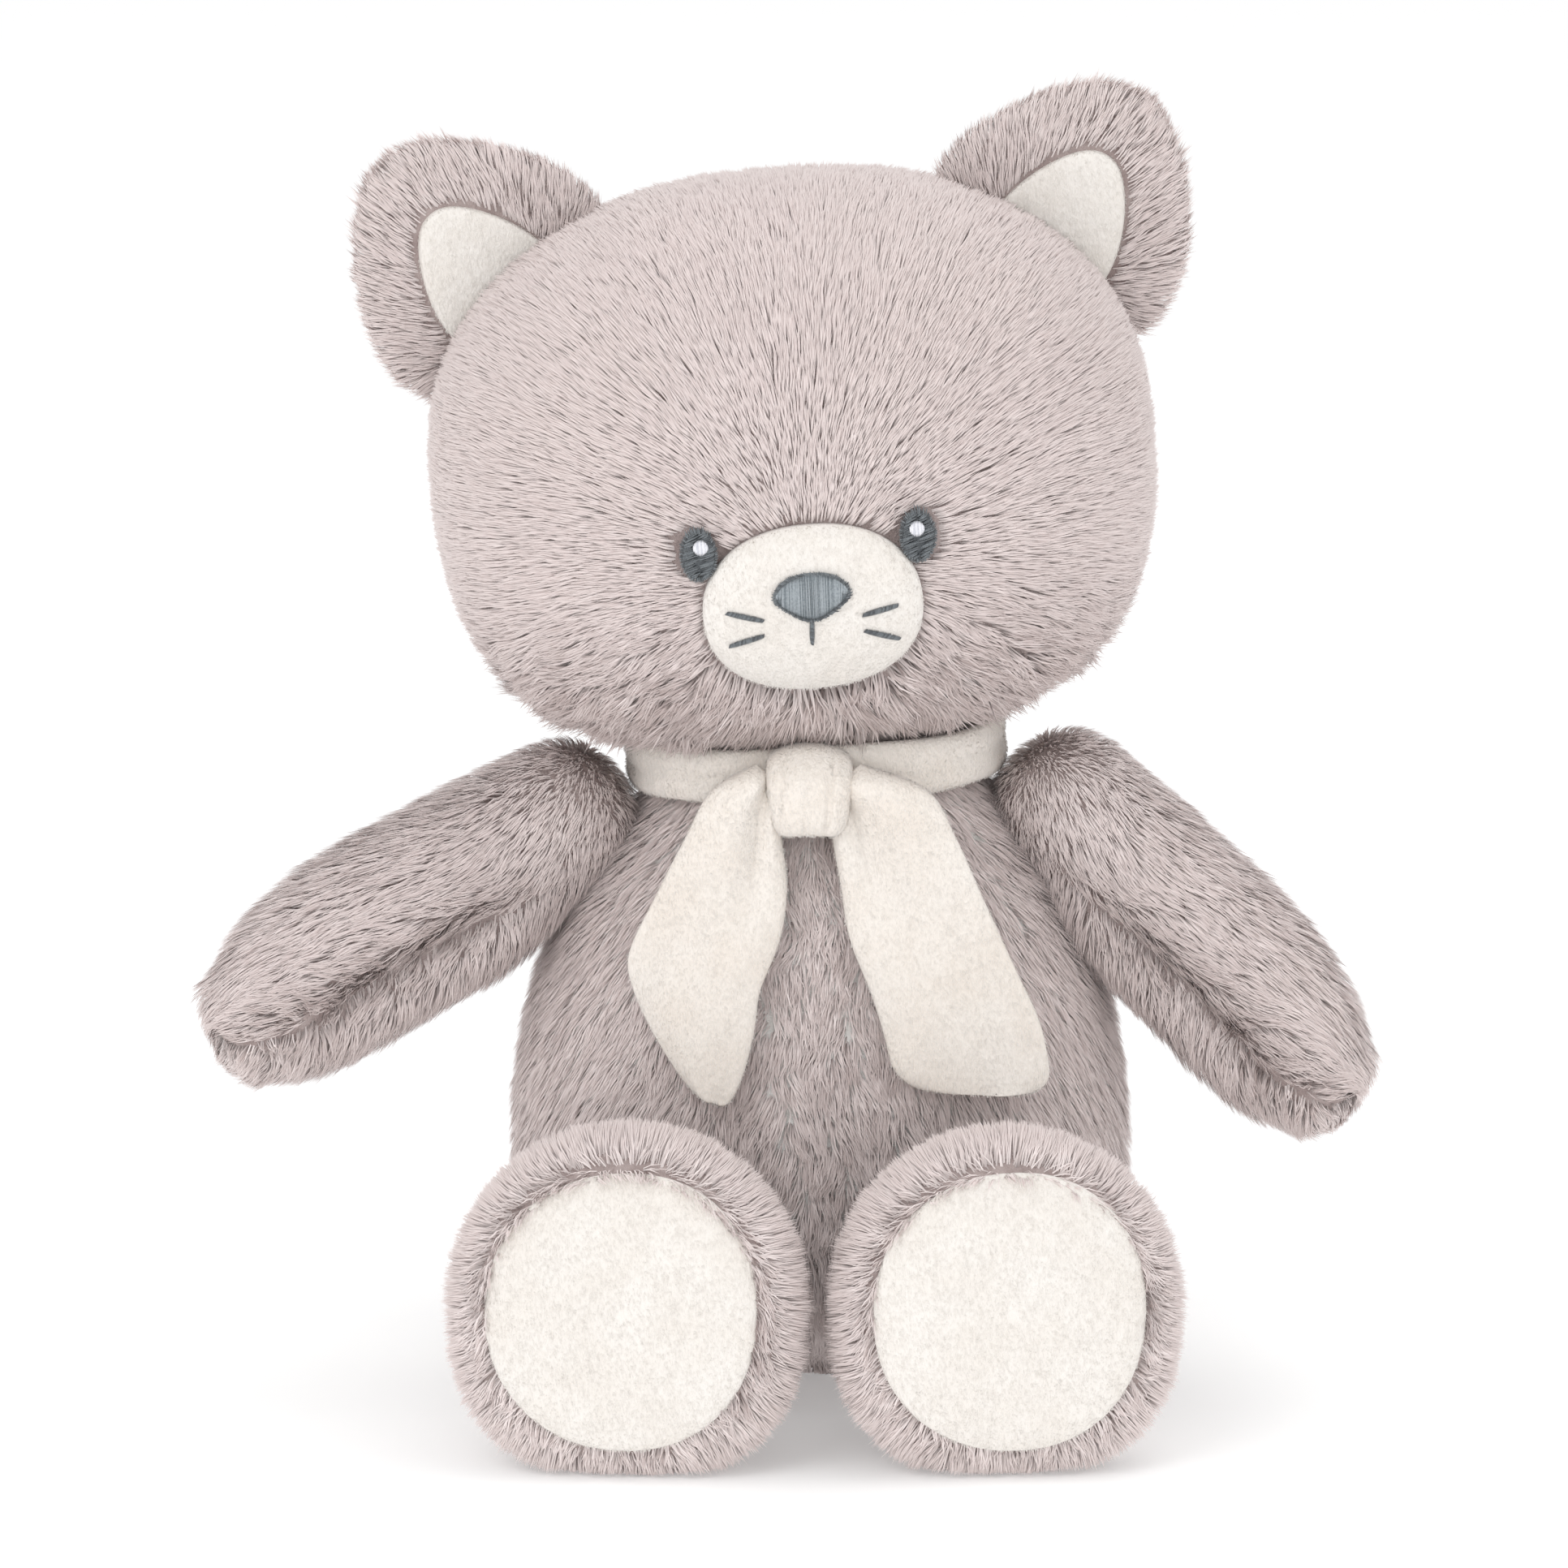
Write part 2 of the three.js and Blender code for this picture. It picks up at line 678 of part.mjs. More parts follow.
function liningBody(sign) {
  const { low, high, scale, lift, thick } = EAR_LINING;
  const count = 20;
  const layer = (fraction, height) => Array.from({ length: count }, (_, j) => {
    const [u, h] = earEdge((2 * Math.PI * j) / count, low, high, EAR.halfWidth * scale);
    const middle = (low + high) / 2;
    const pu = u * fraction;
    const ph = middle + (h - middle) * fraction;
    return new THREE.Vector3(pu, ph, earFace(pu, ph) + height);
  });
  const rings = [layer(0.5, lift), layer(1, lift), layer(0.98, lift + thick), layer(0.5, lift + thick)];
  return bodyOfRings(rings).applyMatrix4(earFrame(sign));
}

function earParts(side, sign) {
  const room = headBody(-EAR_FLOP_GAP);
  const ear = cut(earBody(sign, EAR_HEM), [room]);
  const lining = cut(liningBody(sign), [headBody(-LINING_FLOP_GAP), earBody(sign, EAR_HEM + SEAM_GAP)]);
  return [named(`${side}_ear`, ear, FUR), named(`${side}_ear_lining`, lining, CREAM)];
}

function headParts(head) {
  head.updateMatrixWorld(true);
  const inverse = head.matrixWorld.clone().invert();
  const hole = neckCylinder(NECK_HOLE_R, 140, 172).applyMatrix4(inverse);
  const pocket = neckCylinder(NECK_PLUG.r + 1, 140, NECK_PLUG.top + 1).applyMatrix4(inverse);
  head.add(named("head_shell", cut(headBody(0), [headBody(WALL), hole]), FUR));
  head.add(named("head_stuffing", cut(headBody(WALL + GAP), [pocket]), FILLING));
  head.add(muzzlePart());
  head.add(muzzleStitch("nose", 0, NOSE.z, noseOutline(NOSE.halfWidth, NOSE.halfHeight), NOSE.height, 3));
  const mouthOutline = stitchOutline(MOUTH.length, MOUTH.halfWidth, 90);
  head.add(muzzleStitch("mouth_stitch", 0, MOUTH.top - MOUTH.length / 2, mouthOutline, MOUTH.height, 1));
  for (const [side, sign] of [["right", -1], ["left", 1]]) {
    head.add(...earParts(side, sign));
    head.add(...eyeParts(side, sign));
    head.add(...whiskerParts(side, sign));
  }
  return head;
}

// ---- Scarf ----

function bandBody() {
  const corners = 8;
  const profile = Array.from({ length: corners }, (_, j) => {
    const angle = (2 * Math.PI * j) / corners;
    return [
      BAND.halfThick * signedPower(Math.cos(angle), 0.6),
      BAND.halfHeight * signedPower(Math.sin(angle), 0.6),
    ];
  });
  const count = 28;
  const positions = [];
  const index = [];
  for (let i = 0; i < count; i += 1) {
    const angle = (2 * Math.PI * i) / count;
    for (const [out, up] of profile) {
      const x = (BAND.halfWidth + out) * Math.cos(angle);
      const y = (BAND.halfDepth + out) * Math.sin(angle);
      positions.push(x, y, up);
    }
  }
  for (let i = 0; i < count; i += 1) {
    const next = (i + 1) % count;
    for (let j = 0; j < corners; j += 1) {
      const k = (j + 1) % corners;
      const a = i * corners + j;
      const b = next * corners + j;
      const c = next * corners + k;
      const d = i * corners + k;
      index.push(a, b, c, a, c, d);
    }
  }
  const geometry = new THREE.BufferGeometry();
  geometry.setAttribute("position", new THREE.Float32BufferAttribute(positions, 3));
  geometry.setIndex(index);
  geometry.rotateY(BAND.roll);
  geometry.translate(BAND.x, 0, BAND.z);
  return geometry;
}

// A flat tail of doubled cloth that hangs just in front of the chest.
function scarfTailBody(stations) {
  const rows = 10;
  const columns = 6;
  const steps = stations.map((row, i) => [i, ...row]);
  const rings = [];
  for (let i = 0; i <= rows; i += 1) {
    const t = ((stations.length - 1) * i) / rows;
    const [x, z, half, rise] = [1, 2, 3, 4].map((column) => station(steps, t, column));
    const outward = Math.sign(stations[stations.length - 1][0]);
    const points = [];
    for (const facing of [-1, 1]) {
      for (let j = 0; j <= columns; j += 1) {
        const across = (2 * j) / columns - 1;
        const px = x - facing * across * half;
        const pz = z + (rise / 2) * Math.sign(outward) * (-facing * across);
        const taper = 1 - 0.7 * Math.abs(across) ** 4;
        const y = chestY(px, pz) - SCARF_CLEAR + facing * (SCARF_THICK / 2) * taper;
        points.push(new THREE.Vector3(px, y, pz));
      }
    }
    rings.push(points);
  }
  return bodyOfRings(rings);
}

function scarfParts() {
  const { x, y, z, halfWidth, halfDepth, halfHeight, round } = KNOT;
  const parts = [
    named("scarf_band", bandBody(), CREAM),
    named("scarf_knot", ellipsoid([x, y, z], [halfWidth, halfDepth, halfHeight], 16, 7, round), CREAM),
  ];
  for (const { side, stations } of SCARF_TAILS) {
    parts.push(named(`${side}_scarf_tail`, scarfTailBody(stations), CREAM));
  }
  return parts;
}

function labelPart() {
  const surface = -chestY(LABEL.x, LABEL.z) + SEAM_GAP + 0.3;
  const geometry = new THREE.BoxGeometry(LABEL.halfWidth * 2, LABEL.reach, LABEL.thick);
  geometry.translate(LABEL.x, surface + LABEL.reach / 2, LABEL.z);
  return named("care_label", geometry, WHITE, 0.5);
}

const cat = new THREE.Group();
const head = new THREE.Group();
head.position.set(...HEAD_AT);
head.rotation.set(0, HEAD_ROLL, HEAD_TURN);
cat.add(headParts(head));
cat.add(...torsoParts());
ARMS.forEach((arm) => cat.add(...armParts(arm)));
LEGS.forEach((leg) => cat.add(...legParts(leg)));
cat.add(...tailParts());
cat.add(...scarfParts());
cat.add(labelPart());

export default cat;
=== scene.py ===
"""A seated plush cat: pile-fabric skins with combed fur, velour patches, a satin-stitch face and a
knotted scarf.

Metres, +Z up. The cat faces -Y, so its right side is -X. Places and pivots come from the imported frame.
"""
import json
import logging
import math
from collections.abc import Callable
from dataclasses import dataclass, field
from enum import Enum, IntEnum

import bpy
import numpy as np
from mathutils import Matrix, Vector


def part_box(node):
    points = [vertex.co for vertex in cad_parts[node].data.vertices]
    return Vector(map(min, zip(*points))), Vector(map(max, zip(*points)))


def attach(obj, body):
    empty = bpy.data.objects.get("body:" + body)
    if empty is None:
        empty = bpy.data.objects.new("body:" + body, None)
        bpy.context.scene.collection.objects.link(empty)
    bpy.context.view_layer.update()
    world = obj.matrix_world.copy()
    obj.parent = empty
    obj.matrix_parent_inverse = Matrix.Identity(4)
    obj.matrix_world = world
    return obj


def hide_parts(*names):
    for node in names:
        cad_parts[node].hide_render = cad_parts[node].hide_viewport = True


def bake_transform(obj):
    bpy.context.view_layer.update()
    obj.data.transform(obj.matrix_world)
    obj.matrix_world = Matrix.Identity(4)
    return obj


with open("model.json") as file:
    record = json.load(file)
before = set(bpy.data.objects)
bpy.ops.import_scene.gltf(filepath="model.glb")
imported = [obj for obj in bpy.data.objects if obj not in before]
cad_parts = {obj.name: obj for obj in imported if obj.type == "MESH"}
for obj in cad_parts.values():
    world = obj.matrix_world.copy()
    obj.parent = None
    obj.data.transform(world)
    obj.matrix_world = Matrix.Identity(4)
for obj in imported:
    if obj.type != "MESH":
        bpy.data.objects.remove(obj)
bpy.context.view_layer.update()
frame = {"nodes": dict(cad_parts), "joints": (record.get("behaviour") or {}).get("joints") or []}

LOG = logging.getLogger("plush_cat")
MM = 0.001
STRAND_MAP = "OFBake"
STITCH_TONE = "stitch_tone"
FUR_FLOOR = 0.4 * MM       # no strand goes lower than this
SKIN_FLOOR = 0.8 * MM      # nor any limb's or tail's skin lower than this
SKIN_INSET = 2.0 * MM      # the knitted ground lies this far under the CAD shells, which stand at mid pile
Array = np.ndarray
Piece = bpy.types.Object
Material = bpy.types.Material


class Side(Enum):
    """The cat's own sides: its right is towards -X."""

    RIGHT = -1
    LEFT = 1

    @property
    def word(self) -> str:
        """The side's name as it stands in the names of pieces and bodies."""
        return self.name.lower()


class Seed(IntEnum):
    """Where each piece's chance starts. A side's own value is added for pieces that come in pairs."""

    HEAD = 11
    MUZZLE = 15
    EAR = 20
    EAR_LINING = 25
    TORSO = 31
    EYE = 40
    ARM = 50
    LEG = 60
    NOSE = 61
    TAIL = 71
    SCARF_BAND = 82
    SCARF_KNOT = 83
    SCARF_TAIL = 85


# ---------------------------------------------------------------- small maths


def unit(vectors: Array) -> Array:
    """Vectors scaled to length one along their last axis."""
    return vectors / np.maximum(np.linalg.norm(vectors, axis=-1, keepdims=True), 1e-12)


def flat_along(vectors: Array, normals: Array) -> Array:
    """The part of each vector that lies in the surface with these unit normals."""
    return vectors - (vectors * normals).sum(-1, keepdims=True) * normals


def signed_power(value: Array, power: float) -> Array:
    """Sign of the value times its size to a power, which makes a circle a superellipse."""
    return np.sign(value) * np.abs(value) ** power


def full_turn(count: int) -> Array:
    """Even angles all the way round."""
    return 2 * np.pi * np.arange(count) / count


def out_and_back(rows: int) -> Array:
    """Shares of the way from a middle out to a rim and back, as a column: sin of even angles, so that
    they close up at the rim."""
    out = np.sin(0.5 * np.pi * (np.arange(rows) + 0.5) / rows)
    return np.concatenate([out, out[::-1]])[:, None]


def smooth_step(value: Array, low: float, high: float) -> Array:
    """0 below low, 1 above high, and the cubic 3t^2 - 2t^3 between."""
    t = np.clip((value - low) / (high - low), 0, 1)
    return t * t * (3 - 2 * t)


def hermite(rows: list[tuple[float, ...]], where: Array, column: int) -> Array:
    """A smooth curve through stations.

    Args:
        rows: stations, each (place, value, value, ...), in rising order of place.
        where: places at which the curve is read.
        column: which value of a station is read.

    Returns:
        Cubic Hermite values, with each slope taken across the station's two neighbours.
    """
    table = np.array(rows, float)
    place, value = table[:, 0], table[:, column]
    slope = np.gradient(value, place)
    cell = np.clip(np.searchsorted(place, where) - 1, 0, len(place) - 2)
    span = place[cell + 1] - place[cell]
    u = np.clip((where - place[cell]) / span, 0, 1)
    rise, fall = 3 * u**2 - 2 * u**3, 2 * u**3 - 3 * u**2 + 1
    lead, lag = u**3 - 2 * u**2 + u, u**3 - u**2
    return fall * value[cell] + rise * value[cell + 1] + span * (lead * slope[cell] + lag * slope[cell + 1])


def turn_matrix(axis: Array, angle: float) -> Array:
    """The rotation by an angle about a unit axis, by Rodrigues' formula."""
    x, y, z = axis
    cross = np.array([[0, -z, y], [z, 0, -x], [-y, x, 0]])
    return np.eye(3) + math.sin(angle) * cross + (1 - math.cos(angle)) * cross @ cross


def basis_along(direction: Array) -> Array:
    """Rows across, up and along, where up is as near +Z as the direction allows."""
    along = unit(np.asarray(direction, float))
    across = unit(np.cross(along, [0.0, 0.0, 1.0]))
    return np.stack([across, np.cross(across, along), along])


# ---------------------------------------------------------------- mesh making


def make_mesh(name: str, points: Array, quads: Array, triangles: Array | None = None) -> Piece:
    """A mesh object from whole arrays.

    Args:
        name: the piece's name.
        points: vertex places, (n, 3).
        quads: corner numbers of the four-sided faces, (m, 4).
        triangles: corner numbers of the three-sided faces, (k, 3).

    Returns:
        The new object at the origin, smooth shaded.
    """
    triangles = np.zeros((0, 3), np.int32) if triangles is None else triangles
    mesh = bpy.data.meshes.new(name)
    mesh.vertices.add(len(points))
    mesh.vertices.foreach_set("co", np.ascontiguousarray(points, np.float32).ravel())
    corners = np.concatenate([quads.ravel(), triangles.ravel()]).astype(np.int32)
    starts = np.concatenate([np.arange(len(quads)) * 4, quads.size + np.arange(len(triangles)) * 3])
    mesh.loops.add(len(corners))
    mesh.loops.foreach_set("vertex_index", corners)
    mesh.polygons.add(len(starts))
    mesh.polygons.foreach_set("loop_start", starts.astype(np.int32))
    mesh.polygons.foreach_set("use_smooth", np.ones(len(starts), bool))
    mesh.update(calc_edges=True)
    piece = bpy.data.objects.new(name, mesh)
    bpy.context.scene.collection.objects.link(piece)
    return piece


def grid_quads(numbers: Array) -> Array:
    """Quads between neighbours in a grid of vertex numbers: each place, the one after it in its row, the
    one across and the one below."""
    corners = [numbers[:-1, :-1], numbers[:-1, 1:], numbers[1:, 1:], numbers[1:, :-1]]
    return np.stack(corners, -1).reshape(-1, 4)


def ring_numbers(rows: int, columns: int) -> Array:
    """Vertex numbers of closed rings: a grid whose first column comes again at its end."""
    numbers = np.arange(rows * columns).reshape(rows, columns)
    return np.concatenate([numbers, numbers[:, :1]], axis=1)


def ring_faces(rows: int, columns: int) -> tuple[Array, Array]:
    """Quads between closed rings and the two end fans, whose poles are the last two points."""
    numbers = ring_numbers(rows, columns)
    pole = np.full(columns, rows * columns)
    first = np.stack([numbers[0, 1:], numbers[0, :-1], pole], -1)
    last = np.stack([numbers[-1, :-1], numbers[-1, 1:], pole + 1], -1)
    return grid_quads(numbers), np.concatenate([first, last])


def ring_normals(rings: Array) -> Array:
    """Unit normals on a grid of closed rings, pointing out of the body."""
    around = np.roll(rings, -1, axis=1) - np.roll(rings, 1, axis=1)
    along = np.gradient(rings, axis=0)
    normals = unit(np.cross(around, along))
    middle = rings.reshape(-1, 3).mean(0)
    return normals * np.sign(((rings - middle) * normals).sum(-1).mean())


def ring_body(name: str, rings: Array) -> Piece:
    """A closed body from rings of points, (rows, columns, 3), with a pole in the middle of each end ring."""
    rows, columns = rings.shape[:2]
    quads, fans = ring_faces(rows, columns)
    points = np.concatenate([rings.reshape(-1, 3), [rings[0].mean(0)], [rings[-1].mean(0)]])
    around = np.roll(rings, -1, axis=1) - np.roll(rings, 1, axis=1)
    outward = np.cross(around, np.gradient(rings, axis=0))
    if ((rings - rings.reshape(-1, 3).mean(0)) * outward).sum() < 0:
        quads, fans = quads[:, ::-1], fans[:, ::-1]
    return make_mesh(name, points, quads, fans)


def hoop_body(name: str, rings: Array) -> Piece:
    """A closed hoop: the grid joins up along its rows and along its columns."""
    numbers = ring_numbers(*rings.shape[:2])
    quads = grid_quads(np.concatenate([numbers, numbers[:1]]).T)
    around = np.roll(rings, -1, axis=1) - rings
    along = np.roll(rings, -1, axis=0) - rings
    outward = np.cross(along, around)
    if ((rings - rings.mean(1, keepdims=True)) * outward).sum() < 0:
        quads = quads[:, ::-1]
    return make_mesh(name, rings.reshape(-1, 3), quads)


def stitch_ends(start_x: Array, start_z: Array, end_x: Array, end_z: Array) -> Array:
    """Each stitch's two ends as across and up, (n, 2, 2)."""
    return np.stack([np.stack([start_x, start_z], -1), np.stack([end_x, end_z], -1)], 1)


def thread_bundle(name: str, starts: Array, ends: Array, normals: Array, radius: float,
                  rise: Array | float, segments: int = 5) -> Piece:
    """Many short stitches as one mesh: each is a small closed tube that arches from start to end.

    Args:
        name: the piece's name.
        starts: where each stitch goes in, (n, 3).
        ends: where each stitch comes out, (n, 3).
        normals: the surface's outward direction at each stitch, (n, 3).
        radius: half the thread's thickness.
        rise: how high the middle of each stitch arches.
        segments: spans along each stitch.

    Returns:
        The object. Height along a stitch is rise times the square root of sin(pi t).
    """
    sides = 6
    count = len(starts)
    t = np.linspace(0, 1, segments + 1)
    bow = np.sin(np.pi * t)
    lift = np.sqrt(bow)[None, :, None] * np.reshape(rise, (-1, 1, 1)) * normals[:, None]
    middles = starts[:, None] * (1 - t)[None, :, None] + ends[:, None] * t[None, :, None] + lift
    across = unit(np.cross(ends - starts, normals))
    girth = radius * (0.3 + 0.7 * bow**0.4)
    angle = full_turn(sides)[None, :, None]
    offset = np.cos(angle) * across[:, None] + np.sin(angle) * normals[:, None]
    points = middles[:, :, None] + girth[None, :, None, None] * offset[:, None]
    per_stitch = (segments + 1) * sides
    quads = grid_quads(ring_numbers(segments + 1, sides))
    fan = np.array([[0, m + 1, m] for m in range(1, sides - 1)])
    caps = np.concatenate([fan, segments * sides + fan[:, ::-1]])
    jump = np.arange(count)[:, None, None] * per_stitch
    quads, caps = (quads[None] + jump).reshape(-1, 4), (caps[None] + jump).reshape(-1, 3)
    piece = make_mesh(name, points.reshape(-1, 3), quads[:, ::-1], caps[:, ::-1])
    tones = np.random.default_rng(count).random(count).repeat(per_stitch).astype(np.float32)
    piece.data.attributes.new(STITCH_TONE, "FLOAT", "POINT").data.foreach_set("value", tones)
    return piece


# ---------------------------------------------------------------- shader maths


class Value:
    """A number socket in a node tree. Arithmetic on it adds Math nodes."""

    def __init__(self, tree: "Tree", socket: bpy.types.NodeSocket) -> None:
        """Keeps the tree that new nodes go into and the socket itself."""
        self.tree, self.socket = tree, socket

    def _math(self, operation: str, first: "Value | float", second: "Value | float") -> "Value":
        """One Math node on two values."""
        return self.tree.value("ShaderNodeMath", {"operation": operation}, {0: first, 1: second})

    def __add__(self, other: "Value | float") -> "Value":
        """self + other."""
        return self._math("ADD", self, other)

    def __mul__(self, other: "Value | float") -> "Value":
        """self * other."""
        return self._math("MULTIPLY", self, other)


class Tree:
    """A material's node tree, with one method that adds any node."""

    def __init__(self, name: str) -> None:
        """Starts an empty node material."""
        self.material = bpy.data.materials.new(name)
        self.material.use_nodes = True
        self.nodes = self.material.node_tree
        self.nodes.nodes.clear()

    def make(self, kind: str, settings: dict | None = None, inputs: dict | None = None) -> bpy.types.Node:
        """Adds a node.

        Args:
            kind: the node's type.
            settings: its properties, set before the sockets.
            inputs: a value, a Value or a socket for each input, by name or number.

        Returns:
            The node.
        """
        node = self.nodes.nodes.new(kind)
        for key, setting in (settings or {}).items():
            setattr(node, key, setting)
        for key, given in (inputs or {}).items():
            given = given.socket if isinstance(given, Value) else given
            if isinstance(given, bpy.types.NodeSocket):
                self.nodes.links.new(given, node.inputs[key])
            else:
                node.inputs[key].default_value = given
        return node

    def value(self, kind: str, settings: dict, inputs: dict, output: int | str = 0) -> Value:
        """The number that a new node gives."""
        return Value(self, self.make(kind, settings, inputs).outputs[output])

    def place(self) -> bpy.types.NodeSocket:
        """The piece's own Object coordinates."""
        return self.make("ShaderNodeTexCoord").outputs["Object"]

    def noise(self, scale: float, detail: float = 3.0, stretch: tuple | None = None) -> Value:
        """Soft noise over the piece.

        Args:
            scale: waves per metre.
            detail: octaves.
            stretch: how much closer the pattern runs along X, Y and Z.

        Returns:
            The noise, about 0.5.
        """
        place = self.place()
        if stretch:
            place = self.make("ShaderNodeMapping", {}, {"Vector": place, "Scale": stretch}).outputs[0]
        return self.value("ShaderNodeTexNoise", {}, {"Vector": place, "Scale": scale, "Detail": detail})

    def mix(self, factor: Value, low: object, high: object) -> bpy.types.NodeSocket:
        """A colour between low and high."""
        low, high = ((*c, 1.0) if isinstance(c, tuple) else c for c in (low, high))
        node = self.make("ShaderNodeMix", {"data_type": "RGBA"}, {0: factor, 6: low, 7: high})
        return node.outputs[2]

    def band(self, value: Value, low: float, high: float) -> Value:
        """0 below low and 1 above high, smooth between."""
        settings = {"interpolation_type": "SMOOTHSTEP"}
        return self.value("ShaderNodeMapRange", settings, {"Value": value, "From Min": low, "From Max": high})

    def bump(self, height: Value, depth: float, strength: float = 1.0) -> bpy.types.NodeSocket:
        """A normal from a height in metres times depth."""
        inputs = {"Height": height, "Distance": depth, "Strength": strength}
        return self.make("ShaderNodeBump", {}, inputs).outputs[0]

    def finish(self, **sockets: object) -> Material:
        """Ends the tree with a Principled shader; names use _ for spaces."""
        inputs = {key.replace("_", " "): given for key, given in sockets.items()}
        shader = self.make("ShaderNodeBsdfPrincipled", {}, inputs)
        self.make("ShaderNodeOutputMaterial", {}, {"Surface": shader.outputs[0]})
        return self.material


Colour = tuple[float, float, float]


@dataclass(frozen=True)
class PileFinish:
    """Fur strands: their own map gives tone across and root to tip along."""

    name: str = "cat_pile"
    # root colours, darker than the tips: painted shade deep in the pile
    root_dark: Colour = (0.060, 0.030, 0.025)
    root_light: Colour = (0.950, 0.860, 0.840)
    tip_dark: Colour = (0.550, 0.455, 0.435)
    tip_light: Colour = (0.925, 0.830, 0.810)

    def build(self) -> Material:
        """Roots painted darker, lightening along each strand: painted shade deep in the pile. Every strand
        has its own tone.
        """
        tree = Tree(self.name)
        spot = tree.make("ShaderNodeUVMap", {"uv_map": STRAND_MAP})
        parts = tree.make("ShaderNodeSeparateXYZ", {}, {0: spot.outputs[0]})
        tone, along = Value(tree, parts.outputs[0]), Value(tree, parts.outputs[1])
        root = tree.mix(tone, self.root_dark, self.root_light)
        tip = tree.mix(tone, self.tip_dark, self.tip_light)
        # painted shade: the colour darkens from tip to root over the lower two thirds of each strand
        colour = tree.mix(tree.band(along, 0.0, 0.68), root, tip)
        return tree.finish(Base_Color=colour, Roughness=0.65, Sheen_Weight=0.2, Sheen_Roughness=0.5,
                           Specular_IOR_Level=0.3)


@dataclass(frozen=True)
class BackingFinish:
    """The knitted ground that the pile grows from, seen only between tufts."""

    name: str = "pile_backing"
    # dark grey knit: partly its own tone, partly painted shade seen between the tufts
    low: Colour = (0.330, 0.260, 0.248)
    high: Colour = (0.470, 0.390, 0.375)

    def build(self) -> Material:
        """Mottled dark grey knit with a fine raised grain; its darkness is partly the knit's own tone and
        partly painted shade between the tufts.
        """
        tree = Tree(self.name)
        mottle, grain = tree.noise(160, 4), tree.noise(1400, 2)
        colour = tree.mix(tree.band(mottle, 0.3, 0.7), self.low, self.high)
        return tree.finish(Base_Color=colour, Roughness=0.9, Normal=tree.bump(grain, 0.0006))


@dataclass(frozen=True)
class VelourFinish:
    """Short brushed velour: nap that lies in soft patches, with a fine fibre grain."""

    name: str
    low: Colour
    high: Colour
    nap: float = 70.0

    def build(self) -> Material:
        """Brushed patches in two near tones, fibre grain in the normal and a soft sheen."""
        tree = Tree(self.name)
        patches, fibres = tree.noise(self.nap, 4), tree.noise(1900, 3, (1.0, 1.0, 0.45))
        colour = tree.mix(tree.band(patches * 0.75 + fibres * 0.25, 0.32, 0.68), self.low, self.high)
        height = fibres * 0.55 + patches * 0.45
        return tree.finish(Base_Color=colour, Roughness=0.82, Normal=tree.bump(height, 0.0007, 0.8),
                           Sheen_Weight=0.35, Sheen_Roughness=0.45, Specular_IOR_Level=0.25)


@dataclass(frozen=True)
class ThreadFinish:
    """Rayon embroidery thread: twisted plies with a silky gloss."""

    name: str
    low: Colour
    high: Colour
    gloss: float = 0.38

    def build(self) -> Material:
        """Stitch-to-stitch tone, with fine plies in the normal."""
        tree = Tree(self.name)
        stitch = tree.value("ShaderNodeAttribute", {"attribute_name": STITCH_TONE}, {}, "Fac")
        tone, plies = tree.noise(2600, 2), tree.noise(6500, 2, (1.0, 1.0, 0.6))
        colour = tree.mix(tree.band(tone * 0.6 + stitch * 0.4, 0.22, 0.74), self.low, self.high)
        return tree.finish(Base_Color=colour, Roughness=self.gloss, Normal=tree.bump(plies, 0.00012),
                           Sheen_Weight=0.3, Specular_IOR_Level=0.5)


@dataclass(frozen=True)
class ClothFinish:
    """Plain inner cloths and fillings: a tone, a grain and how deep the grain stands."""

    name: str
    low: Colour
    high: Colour
    scale: float
    depth: float

    def build(self) -> Material:
        """Two tones over one grain, which also raises the surface."""
        tree = Tree(self.name)
        grain = tree.noise(self.scale, 5)
        colour = tree.mix(tree.band(grain, 0.35, 0.65), self.low, self.high)
        return tree.finish(Base_Color=colour, Roughness=0.9, Normal=tree.bump(grain, self.depth))


@dataclass(frozen=True)
class Finishes:
    """Every material of the toy, built once."""

    pile: Material
    nap: Material
    backing: Material
    velour: Material
    scarf: Material
    thread: Material
    nose: Material
    glint: Material
    filling: Material
    pouch: Material
    tape: Material

    @classmethod
    def make(cls) -> "Finishes":
        """Builds the materials in a fixed order."""
        return cls(
            pile=PileFinish().build(),
            # the nap's roots, a little darker than its tips, are painted shade in the pile
            nap=PileFinish("cream_nap", (0.84, 0.785, 0.73), (0.88, 0.83, 0.78), (0.865, 0.82, 0.77),
                           (0.93, 0.895, 0.85)).build(),
            backing=BackingFinish().build(),
            velour=VelourFinish("cream_velour", (0.840, 0.795, 0.745), (0.880, 0.845, 0.805)).build(),
            scarf=VelourFinish("scarf_velour", (0.855, 0.785, 0.715), (0.905, 0.855, 0.800), 55.0).build(),
            thread=ThreadFinish("slate_thread", (0.045, 0.052, 0.060), (0.175, 0.195, 0.210)).build(),
            nose=ThreadFinish("pale_slate_thread", (0.165, 0.195, 0.215), (0.400, 0.440, 0.470)).build(),
            glint=ThreadFinish("white_thread", (0.62, 0.63, 0.69), (0.88, 0.88, 0.92)).build(),
            filling=ClothFinish("fibre_filling", (0.72, 0.71, 0.68), (0.90, 0.89, 0.87), 220.0,
                                0.0015).build(),
            pouch=ClothFinish("pouch_cotton", (0.70, 0.68, 0.62), (0.84, 0.82, 0.77), 1500.0, 0.0003).build(),
            tape=ClothFinish("label_tape", (0.80, 0.80, 0.80), (0.90, 0.90, 0.90), 2200.0, 0.0002).build(),
        )


def dress(piece: Piece, material: Material) -> Piece:
    """Gives a new piece its one material."""
    piece.data.materials.clear()
    piece.data.materials.append(material)
    return piece


def refinish(node: str, material: Material) -> None:
    """Gives a CAD node that stays its detailed material."""
    for slot in frame["nodes"][node].material_slots:
        slot.material = material


